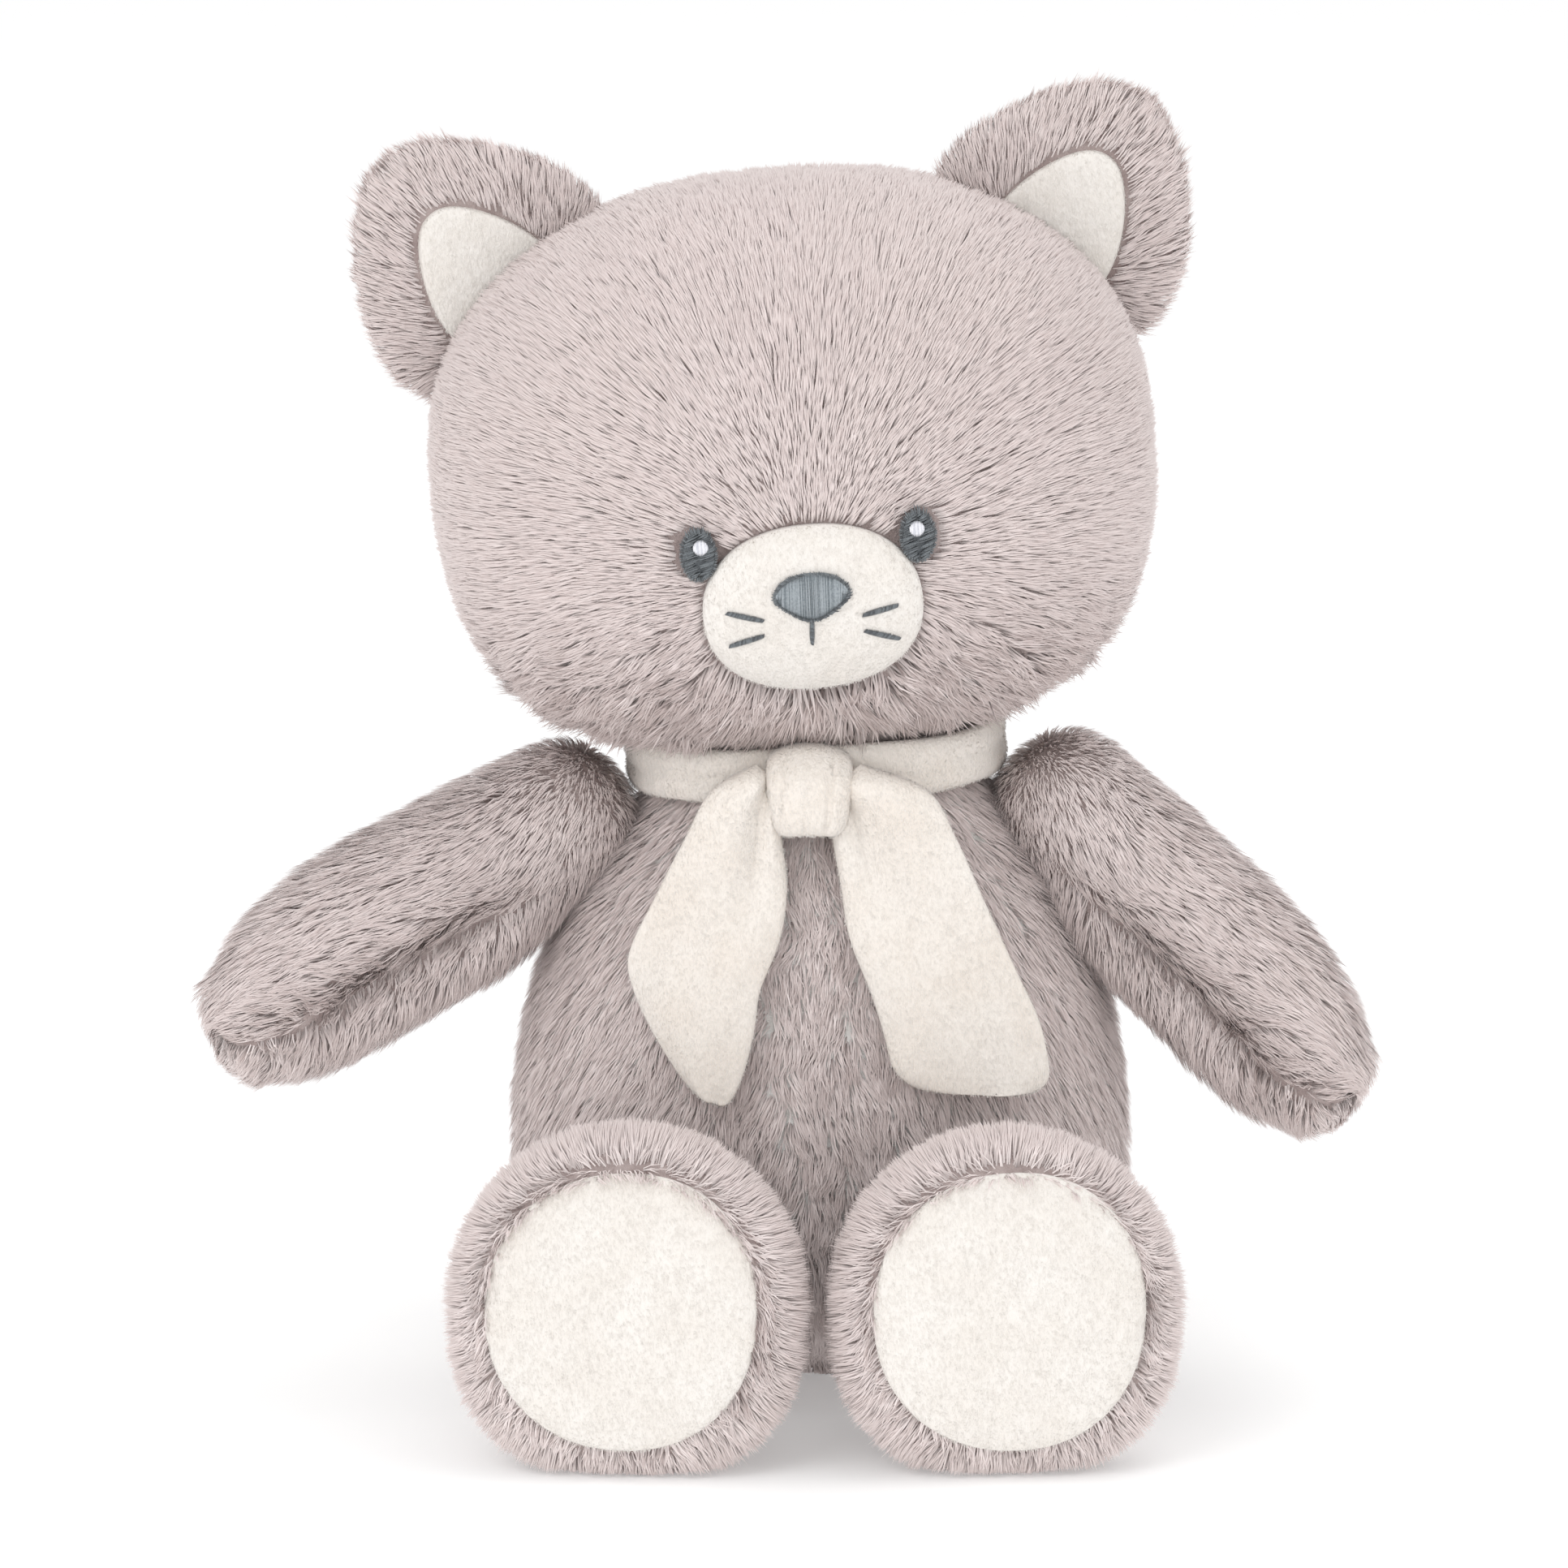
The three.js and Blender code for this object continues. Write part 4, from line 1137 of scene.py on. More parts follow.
    def build_stitches(self) -> None:
        """The mouth and the four whiskers."""
        self.bar("mouth", (-0.6 * MM, -27.2 * MM), (-1.0 * MM, -33.2 * MM), "mouth_stitch", 0.62 * MM)
        bars = {Side.RIGHT: ((-11.6, -26.8, -19.4, -24.5), (-11.7, -30.4, -19.3, -32.4)),
                Side.LEFT: ((10.8, -27.5, 18.6, -26.2), (11.0, -31.3, 18.5, -34.2))}
        for side, (high, low) in bars.items():
            for word, place, node in (("high", high, "upper"), ("low", low, "lower")):
                start, end = (place[0] * MM, place[1] * MM), (place[2] * MM, place[3] * MM)
                self.bar(f"{side.word}_whisker_{word}", start, end, f"{side.word}_whisker_{node}")

    def build(self) -> None:
        """Skin, fur, muzzle, eyes, nose and stitches, then the filling's finish."""
        self.build_skin()
        self.build_muzzle()
        for side in Side:
            self.build_eye(side)
        self.build_nose()
        self.build_stitches()
        refinish("head_stuffing", self.finishes.filling)
        LOG.info("head: skin, fur, muzzle, eyes, nose, mouth and whiskers")


@dataclass
class Ear:
    """A fur ear, a rounded triangle cupped round its velour lining, standing on the head."""

    head: Head
    finishes: Finishes
    side: Side
    base: tuple = (60 * MM, 8 * MM, 38 * MM)
    lean: float = math.radians(54)
    half_width: float = 26.8 * MM
    low: float = -15 * MM
    high: float = 41.3 * MM
    thick: float = 16 * MM
    taper: float = 0.3
    round: float = 0.9
    lining_low: float = -9 * MM
    lining_high: float = 28.5 * MM
    lining_half: float = 14.2 * MM
    face_share: float = 0.82

    def __post_init__(self) -> None:
        """The ear's axes in the head's frame: across, up its length, and to the front."""
        s = self.side.value
        across = (math.sin(self.lean), 0.0, -s * math.cos(self.lean))
        upward = (s * math.cos(self.lean), 0.0, math.sin(self.lean))
        self.axes = np.array([across, upward, (0.0, -1.0, 0.0)])
        self.origin = np.array([s * self.base[0], self.base[1], self.base[2]])
        self.body = f"{self.side.word}_ear"

    def world(self, points: Array) -> Array:
        """Points of the ear's frame in the row frame."""
        return self.head.world(points @ self.axes + self.origin)

    def local(self, points: Array) -> Array:
        """Points of the row frame in the ear's frame."""
        return (self.head.local(points) - self.origin) @ self.axes.T

    def edge(self, angle: Array, low: float, high: float, half: float) -> tuple[Array, Array]:
        """The outline: an oval squared at its sides and narrowed towards its tip."""
        rise = np.sin(angle)
        u = half * signed_power(np.cos(angle), self.round) * (1 - self.taper * rise)
        return u, (low + high) / 2 + (high - low) / 2 * rise

    def cup(self, u: Array, h: Array) -> Array:
        """How far the whole sheet is bent back in its middle, so that the ear is hollow in front."""
        along = np.clip((self.high - h) / (self.high - self.low), 0, 1)
        return -5.0 * MM * (1 - (u / self.half_width) ** 2) * along

    def face(self, u: Array, h: Array) -> Array:
        """Half the ear's thickness: full near the rim and closed at the outline."""
        middle = (self.low + self.high) / 2
        rise = np.clip((h - middle) / ((self.high - self.low) / 2), -1, 1)
        side = u / (self.half_width * (1 - self.taper * rise))
        return self.thick / 2 * np.clip(1 - side**2 - rise**2, 0, 1) ** 0.42

    def rings(self, low: float, high: float, half: float, front: float, back: float, rows: int) -> Array:
        """Rings from the middle of the back, round the rim, to the middle of the front."""
        edge_u, edge_h = self.edge(full_turn(56), low, high, half)
        middle = (low + high) / 2
        f = out_and_back(rows)
        facing = np.concatenate([np.full(rows, back), np.full(rows, front)])[:, None]
        u, h = f * edge_u, middle + f * (edge_h - middle)
        return np.stack([u, h, facing * self.face(u, h) + self.cup(u, h)], -1)

    def comb(self, points: Array, normals: Array) -> Array:
        """Fur fans out from low in the ear towards its rim and tip."""
        local = self.local(points)
        away = np.stack([local[:, 0] * 0.9, local[:, 1] + 12 * MM, 0 * local[:, 0]], -1)
        return unit(away) @ self.axes @ self.head.matrix.T

    def under_lining(self, root: Array) -> Array:
        """Whether places in the ear's frame lie under the lining."""
        middle, reach = (self.lining_low + self.lining_high) / 2, (self.lining_high - self.lining_low) / 2
        rise = (root[:, 1] - middle) / reach
        width = self.lining_half * np.clip(1 - self.taper * rise, 0.2, 2)
        in_front = root[:, 2] > self.cup(root[:, 0], root[:, 1])
        return (np.abs(root[:, 0] / width) ** 2.3 + np.abs(rise) ** 2.3 < 0.97) & in_front

    def build_fur(self) -> list[Piece]:
        """The fur ear's skin and its strands, bare under the lining and inside the head."""
        share = self.face_share
        rings = self.world(self.rings(self.low, self.high, self.half_width, share, -share, 14))
        skin = padded_body(f"{self.body}_skin", rings, self.finishes.backing, "fur", 0.5, self.body)
        strands = grow(Patchwork.of(rings), Pile(length=6.6 * MM), self.comb, Seed.EAR + self.side.value,
                       ruffle_at=lambda points: 0.6 * everywhere(points))
        bare = self.under_lining(self.local(strands.root)) | self.head.inside(strands.root, 0.93)
        return [skin, *fur_pieces(f"{self.body}_fur", strands.chosen(~bare), self.finishes.pile)]

    def build_lining(self) -> list[Piece]:
        """The velour lining and its nap: height over the ear's front is 1.9 sqrt(1 - f^6) mm."""
        patch = self.rings(self.lining_low, self.lining_high, self.lining_half, 0.0, 0.0, 12)
        rows = len(patch) // 2
        top = 1.9 * np.sqrt(1 - np.linspace(0.999, 0, rows) ** 6)
        lift = np.concatenate([np.full(rows, -1.0), top])[:, None] * MM
        u, h = patch[..., 0], patch[..., 1]
        patch[..., 2] = self.face_share * self.face(u, h) + self.cup(u, h) + lift
        patch = self.world(patch)
        lining = padded_body(f"{self.body}_velour", patch, self.finishes.velour, "velour", 0.2,
                             f"{self.body}_lining")
        nap = nap_pieces(f"{self.body}_nap", patch[rows:], self.finishes.nap,
                         Seed.EAR_LINING + self.side.value)
        return [lining, *nap]

    def build(self) -> None:
        """Fur and lining."""
        upward = self.axes[1] @ self.head.matrix.T
        pivot = pivot_of(f"{self.body}_flop")
        blend_all(self.build_fur() + self.build_lining(), self.body,
                  pivot - 4 * MM * upward, pivot + 16 * MM * upward)
        LOG.info("%s: skin, fur and lining", self.body)


@dataclass
class Torso:
    """The body: a pear of level superellipses on a flat seat."""

    finishes: Finishes
    centre_x: float = 2 * MM
    round: float = 2.2
    top: float = 146.5 * MM
    sweep_top: float = 30 * MM
    # stations up the body, in mm: (height, half width, half depth)
    sections: tuple = ((0, 40, 30), (9, 58.5, 45), (28, 69, 52.5), (55, 71, 53.5), (80, 68.5, 51),
                       (100, 62.5, 47), (117, 53, 42), (131, 42.5, 37), (140, 36, 33), (146.5, 31, 28.5))

    def half(self, z: Array, column: int) -> Array:
        """Half width (1) or half depth (2) at a height."""
        return hermite(self.sections, z / MM, column) * MM

    def chest(self, x: Array, z: Array) -> Array:
        """How far forward the body's fabric stands at x and z."""
        across = np.minimum(np.abs((x - self.centre_x) / self.half(z, 1)), 0.98)
        return -self.half(z, 2) * (1 - across**self.round) ** (1 / self.round)

    def rings(self, inset: float, rows: int, columns: int) -> Array:
        """Level rings from the seat to the neck."""
        t = (1 - np.cos(np.pi * (np.arange(rows)) / (rows - 1))) / 2
        z = inset * 0.4 + (self.top - 1.4 * inset) * t
        angle = full_turn(columns)
        power = 2 / self.round
        sweep = 0.35 + 0.65 * smooth_step(z, 0.0, self.sweep_top)
        reach = np.where(np.sin(angle)[None] < 0, sweep[:, None], 1.0)
        x = (self.half(z, 1) - inset)[:, None] * signed_power(np.cos(angle), power)[None]
        y = (self.half(z, 2) - inset)[:, None] * reach * signed_power(np.sin(angle), power)[None]
        return np.stack([self.centre_x + x, y, np.broadcast_to(z[:, None], x.shape)], -1)

    def comb(self, points: Array, normals: Array) -> Array:
        """Fur hangs, parting a little from the middle of the belly and back."""
        side = np.clip((points[:, 0] - self.centre_x) / (40 * MM), -1, 1)
        return np.stack([0.3 * side, 0 * side, -np.ones_like(side)], -1)

    def ruffle_at(self, points: Array) -> Array:
        """Fur is ruffled down the middle of the belly and sleek at the sides."""
        side = (points[:, 0] - self.centre_x) / (30 * MM)
        return 0.65 + 1.15 * np.exp(-(side**2))

    def tone_at(self, points: Array) -> Array:
        """Fur is paler down the middle of the belly, where it is ruffled: painted light that lifts the belly,
        which faces down and away from the light above.
        """
        return 0.85 + 0.3 * self.ruffle_at(points)

    def inside(self, points: Array, margin: float) -> Array:
        """Whether points lie this far within the body's fabric."""
        z = points[:, 2]
        x = np.abs(points[:, 0] - self.centre_x) / (self.half(z, 1) - margin)
        y = np.abs(points[:, 1]) / (self.half(z, 2) - margin)
        return (x**self.round + y**self.round < 1) & (z < self.top - margin)

    def build(self, limbs: list["Limb"]) -> None:
        """Skin and fur, bare where the limbs stand, and the finishes of what the body holds."""
        rings = self.rings(1.7 * SKIN_INSET, 48, 72)
        skin = padded_body("torso_skin", rings, self.finishes.backing, "fur", 0.8, "torso_shell")
        pile = Pile(per_mm2=2.8, length=8.6 * MM)
        strands = grow(Patchwork.of(rings), pile, self.comb, Seed.TORSO, everywhere, self.ruffle_at,
                       self.tone_at)
        root = strands.root
        highest, lowest = 143 * MM, 0.9 * MM
        under = (root[:, 2] > highest) | (root[:, 2] < lowest)
        for limb in limbs:
            under |= limb.inside(root, 3 * MM)
        ride_all([skin, *fur_pieces("torso_fur", strands.chosen(~under), self.finishes.pile)], "torso")
        for node in ("torso_stuffing", "neck_stuffing"):
            refinish(node, self.finishes.filling)
        refinish("pellet_bag", self.finishes.pouch)
        LOG.info("torso: skin, fur and fillings")


@dataclass
class Limb:
    """A round limb: a ball about its joint, then stations out to its tip.

    Stations are (distance along, radius) in mm, blend is two distances along the limb from its joint,
    ball_round is the exponent that squares the ball, and girth widens the whole limb.
    """

    torso: Torso
    finishes: Finishes
    name: str
    joint: str
    along: tuple
    stations: tuple
    tip: float
    seed: int
    nodes: tuple
    blend: tuple = (-14 * MM, 18 * MM)
    square_end: bool = False
    ball_round: float = 2.0
    girth: float = 1.0

    def __post_init__(self) -> None:
        """The limb's pivot and axes."""
        self.pivot = pivot_of(self.joint)
        self.axes = basis_along(self.along)

    def world(self, points: Array) -> Array:
        """Points of the limb's frame (across, up, along) in the row frame."""
        return points @ self.axes + self.pivot

    def local(self, points: Array) -> Array:
        """Points of the row frame in the limb's frame."""
        return (points - self.pivot) @ self.axes.T

    def profile(self, inset: float, rows: int) -> tuple[Array, Array]:
        """Distance along and radius, from the ball's root to the tip or the sole's edge."""
        root = (self.stations[0][1] * MM) - inset
        steps = 8
        quarter = 0.5 * np.pi * (np.arange(steps) + 0.4) / steps
        power = 2 / self.ball_round
        ball_s, ball_r = -root * np.cos(quarter) ** power, root * np.sin(quarter) ** power
        last = self.stations[-1][0] * MM
        s = np.linspace(0, last, rows)
        r = hermite(self.stations, s / MM, 1) * MM - inset
        if self.square_end:
            return np.concatenate([ball_s, s]), np.concatenate([ball_r, r])
        turn = 0.5 * np.pi * np.arange(1, steps + 1) / (steps + 0.4)
        end_r = r[-1] * np.cos(turn)
        end_s = last + (self.tip - inset - last) * np.sin(turn)
        return np.concatenate([ball_s, s, end_s]), np.concatenate([ball_r, r, end_r])

    def furrow(self, s: Array, angle: Array) -> Array:
        """The share of its radius that seams and the body leave the fabric, along and round the limb."""
        return np.ones(np.broadcast_shapes(s.shape, angle.shape))

    def rings(self, inset: float, rows: int = 30, columns: int = 48) -> Array:
        """Round sections along the limb, flattened on the floor."""
        s, r = self.profile(inset, rows)
        angle = full_turn(columns)
        reach = self.girth * r[:, None] * self.furrow(s[:, None], angle[None])
        up = reach * np.sin(angle) - self.bend(s)[:, None]
        along = np.broadcast_to(s[:, None], reach.shape)
        rings = self.world(np.stack([reach * np.cos(angle), up, along], -1))
        rings[..., 2] = np.maximum(rings[..., 2], SKIN_FLOOR)
        return rings

    def comb(self, points: Array, normals: Array) -> Array:
        """Fur lies towards the tip and hangs a little."""
        return self.axes[2] + np.array([0.0, 0.0, -0.25])

    def inside(self, points: Array, margin: float) -> Array:
        """Whether points lie this far within the limb."""
        local = self.local(points)
        along = local[:, 2]
        ball = self.stations[0][1] * MM
        reach = hermite(self.stations, np.maximum(along, 0) / MM, 1) * MM
        n = self.ball_round
        reach = np.where(along < 0, np.maximum(ball**n - np.abs(along) ** n, 0) ** (1 / n), reach)
        reach = reach * self.furrow(along, np.arctan2(local[:, 1], local[:, 0]))
        return (np.linalg.norm(local[:, :2], axis=1) < reach - margin) & (along < self.tip - margin)

    def keep(self, strands: Strands) -> Array:
        """Which strands grow: not those sewn inside the body."""
        return ~self.torso.inside(strands.root, 4 * MM)

    def length_at(self, points: Array) -> Array:
        """The fur's length along the limb; even unless a limb says otherwise."""
        return everywhere(points)

    def ruffle_at(self, points: Array) -> Array:
        """How ruffled the fur is; even unless a limb says otherwise."""
        return everywhere(points)

    def tone_at(self, points: Array) -> Array:
        """How pale the fur is; even unless a limb says otherwise."""
        return everywhere(points)

    def bend(self, s: Array) -> Array:
        """How far the limb's middle drops below its straight axis."""
        return 0 * s

    def extra(self) -> list[Piece]:
        """Further pieces of the limb."""
        return []

    def build(self) -> None:
        """Skin, fur and further pieces."""
        rings = self.rings(SKIN_INSET)
        skin = padded_body(f"{self.name}_skin", rings, self.finishes.backing, "fur", 0.8, *self.nodes)
        strands = grow(Patchwork.of(rings), Pile(), self.comb, self.seed, self.length_at, self.ruffle_at,
                       self.tone_at)
        strands = strands.chosen(self.keep(strands))
        pieces = [skin, *fur_pieces(f"{self.name}_fur", strands, self.finishes.pile), *self.extra()]
        start, end = (self.pivot + self.axes[2] * place for place in self.blend)
        blend_all(pieces, self.name, start, end)
        LOG.info("%s: %d pieces", self.name, len(pieces))


class Arm(Limb):
    """An arm with a seam that runs down its front, where the fur parts."""

    def on_this_side(self, right_degrees: float) -> float:
        """An angle round the right arm, or its mirror image if this is the left one."""
        return math.radians(right_degrees if self.along[0] < 0 else 540 - right_degrees)

    def from_seam(self, angle: Array) -> Array:
        """The angle round the arm from its seam, low on the front."""
        return np.angle(np.exp(1j * (angle - self.on_this_side(201))))

    def spots(self, points: Array) -> tuple[Array, Array, Array]:
        """For points of the row frame: distance along the arm, angle round it, and angle from the seam."""
        local = self.local(points)
        angle = np.arctan2(local[:, 1], local[:, 0])
        return local[:, 2], angle, self.from_seam(angle)

    def furrow(self, s: Array, angle: Array) -> Array:
        """The seam pulls in a groove, deepest at mid arm, and the root is tucked in low on the front."""
        deep = 0.28 * smooth_step(s, 4 * MM, 34 * MM) * (1 - smooth_step(s, 54 * MM, 78 * MM))
        groove = 1 - deep * np.exp(-((self.from_seam(angle) / 0.20) ** 2))
        low_front = 0.5 + 0.5 * np.cos(angle - self.on_this_side(238))
        tuck = 0.30 * (1 - smooth_step(s, -6 * MM, 30 * MM)) * low_front**1.3
        return groove * (1 - tuck)

    def bend(self, s: Array) -> Array:
        """The arm droops a little towards its tip."""
        return 4.2 * MM * smooth_step(s, 40 * MM, 96 * MM)

    def comb(self, points: Array, normals: Array) -> Array:
        """Fur lies towards the tip, hangs a little and leans away from the seam."""
        along, angle, off = self.spots(points)
        round_about = np.stack([-np.sin(angle), np.cos(angle), 0 * angle], -1) @ self.axes
        part = 1.1 * np.sign(off) * np.exp(-((off / 0.55) ** 2))
        tip = smooth_step(along, 68 * MM, 88 * MM)[:, None]
        grown = smooth_step(along, -6 * MM, 26 * MM)[:, None]
        part = part[:, None] * grown * round_about
        shoulder = np.array([0.55 * np.sign(self.along[0]), -0.1, -1.0])
        lie = (1 - grown) * shoulder + grown * self.axes[2] * (1 - 0.25 * tip)
        return lie + part + np.array([0.0, 0.0, -0.2])

    def length_at(self, points: Array) -> Array:
        """Fur is shorter in the seam, at the shoulder and at the tip."""
        along, _, off = self.spots(points)
        tip = smooth_step(along, 66 * MM, 86 * MM)
        shoulder = 1 - smooth_step(along, -10 * MM, 14 * MM)
        return (1 - 0.35 * np.exp(-((off / 0.25) ** 2))) * (1 - 0.18 * tip) * (1 - 0.4 * shoulder)

    def tone_at(self, points: Array) -> Array:
        """Fur is paler at the shoulder, where it stands less deep: painted light that lifts the shade that
        the scarf band and the chin cast there.
        """
        return 1.07 + 0.15 * (1 - smooth_step(self.local(points)[:, 2], -8 * MM, 20 * MM))

    def ruffle_at(self, points: Array) -> Array:
        """Fur is ruffled along the seam."""
        along, _, off = self.spots(points)
        seam = np.exp(-((off / 0.42) ** 2)) * smooth_step(along, 5 * MM, 30 * MM)
        return 0.7 + 1.2 * seam + 0.5 * seam * smooth_step(along, 55 * MM, 78 * MM)


@dataclass
class Leg(Limb):
    """A leg that widens to a round foot, closed by a cream pad."""

    pad_radius: float = 30.0 * MM
    sole: float = 50 * MM

    def fringe(self, points: Array) -> Array:
        """How far into the fringe round the pad each point is: 0 on the foot and 1 at the pad's seam."""
        return smooth_step(self.local(points)[:, 2], 45.5 * MM, 48.8 * MM)

    def comb(self, points: Array, normals: Array) -> Array:
        """Fur lies back along the foot, but stands forward round the pad's seam."""
        local = self.local(points)
        out = unit(np.stack([local[:, 0], local[:, 1], 0 * local[:, 0]], -1)) @ self.axes
        rim = self.fringe(points)[:, None]
        return self.axes[2] * (1.8 * rim - 1) + 0.85 * rim * out + np.array([0.0, 0.0, -0.15])

    def length_at(self, points: Array) -> Array:
        """The fur is short on the foot and shorter in the fringe round the pad."""
        return 0.86 - 0.16 * self.fringe(points)

    def ruffle_at(self, points: Array) -> Array:
        """The foot's fur is sleek and the fringe ruffled."""
        return 0.28 + 1.7 * self.fringe(points)

    def tone_at(self, points: Array) -> Array:
        """The fringe is paler than the foot."""
        return 0.86 + 0.7 * self.fringe(points)

    def furrow(self, s: Array, angle: Array) -> Array:
        """The lower half squares off where it bears on the floor, as |cos|^2.6 + |sin|^2.6 = 1."""
        square = (np.abs(np.cos(angle)) ** 2.6 + np.abs(np.sin(angle)) ** 2.6) ** (-1 / 2.6)
        low = np.where(np.sin(angle) < 0, square, 1.0)
        out = smooth_step(s, 5 * MM, 30 * MM) * (1 - smooth_step(s, 46 * MM, 50 * MM))
        return 1.035 + out * (low - 1) - 0.035 * smooth_step(s, 44 * MM, 50 * MM)

    def extra(self) -> list[Piece]:
        """The sole's pad: a shallow dome, gathered all round where it is sewn in."""
        rows = 18
        angle = full_turn(144)
        f = out_and_back(rows)
        shape = self.pad_radius * (1 + 0.012 * np.cos(2 * angle + 0.6) + 0.008 * np.cos(3 * angle))
        reach = f * shape[None]
        gather = 0.18 * MM * np.cos(38 * angle)[None] * np.clip((f - 0.86) / 0.14, 0, 1)
        dome = np.where(np.arange(2 * rows)[:, None] < rows, -3.0 * MM,
                        1.0 * MM + 3.4 * MM * np.sqrt(np.clip(1 - f**3.2, 0, 1)) + gather)
        across = reach * signed_power(np.cos(angle), 0.93)
        up = 1.045 * reach * signed_power(np.sin(angle), 0.93) - 0.4 * MM
        rings = self.world(np.stack([across, up, self.sole - 1.5 * MM + dome + 0 * reach], -1))
        pad = padded_body(f"{self.name}_pad", rings, self.finishes.velour, "velour", 0.5,
                          self.name.replace("_leg", "_foot_pad"))
        nap = nap_pieces(f"{self.name}_pad_nap", rings[rows:], self.finishes.nap, self.seed + 5)
        return [pad, *nap]

    def keep(self, strands: Strands) -> Array:
        """Fur covers the leg up to the pad's seam, and not the flat sole."""
        root = self.local(strands.root)
        across = np.linalg.norm(root[:, :2], axis=1)
        on_rim = (across > self.pad_radius - 0.4 * MM) | (root[:, 2] < self.sole - 4 * MM)
        return on_rim & ~self.torso.inside(strands.root, 4 * MM)


@dataclass
class Tail:
    """A short tail that lies on the floor behind, curling to the cat's right."""

    finishes: Finishes
    radius: float = 11 * MM
    route: tuple = ((2, 57, 15.5), (0, 70, 14.5), (-8, 84, 14), (-21, 94, 14.5), (-36, 98, 16))

    def rings(self) -> tuple[Array, Array]:
        """Round sections carried along the route, with round ends, and the route's directions."""
        route = np.array(self.route) * MM
        rows = [(float(i), *point) for i, point in enumerate(route)]
        t = np.linspace(0, len(route) - 1, 28)
        middle = np.stack([hermite(rows, t, column) for column in (1, 2, 3)], -1)
        along = unit(np.gradient(middle, axis=0))
        r = self.radius - SKIN_INSET * 0.8
        steps = 7
        turn = 0.5 * np.pi * (np.arange(steps) + 0.5) / (steps + 0.5)
        start = middle[0] - r * np.cos(turn)[:, None] * along[0]
        end = middle[-1] + r * np.sin(turn)[:, None] * along[-1]
        centres = np.concatenate([start, middle, end])
        girth = np.concatenate([r * np.sin(turn), np.full(len(middle), r), r * np.cos(turn)])
        heading = np.concatenate([np.repeat(along[:1], steps, 0), along, np.repeat(along[-1:], steps, 0)])
        across = unit(np.cross(heading, [0.0, 0.0, 1.0]))
        upward = np.cross(across, heading)
        angle = full_turn(28)[None, :, None]
        ring = np.cos(angle) * across[:, None] + np.sin(angle) * upward[:, None]
        return centres[:, None] + girth[:, None, None] * ring, heading

    def build(self) -> None:
        """Skin and fur."""
        rings, heading = self.rings()
        rings[..., 2] = np.maximum(rings[..., 2], SKIN_FLOOR)
        skin = padded_body("tail_skin", rings, self.finishes.backing, "fur", 0.8, "tail_shell",
                           "tail_stuffing")
        centres = rings.mean(1)

        def comb(points: Array, normals: Array) -> Array:
            """Fur lies along the tail towards its tip."""
            near = ((points[:, None] - centres[None]) ** 2).sum(-1).argmin(1)
            return heading[near]

        strands = grow(Patchwork.of(rings), Pile(length=8 * MM), comb, Seed.TAIL)
        outside = strands.root[:, 1] > 50 * MM
        pieces = [skin, *fur_pieces("tail_fur", strands.chosen(outside), self.finishes.pile)]
        pivot = pivot_of("tail_wag")
        blend_all(pieces, "tail", pivot + [0, -8 * MM, 0], pivot + [0, 12 * MM, 0])
        LOG.info("tail: skin and fur")


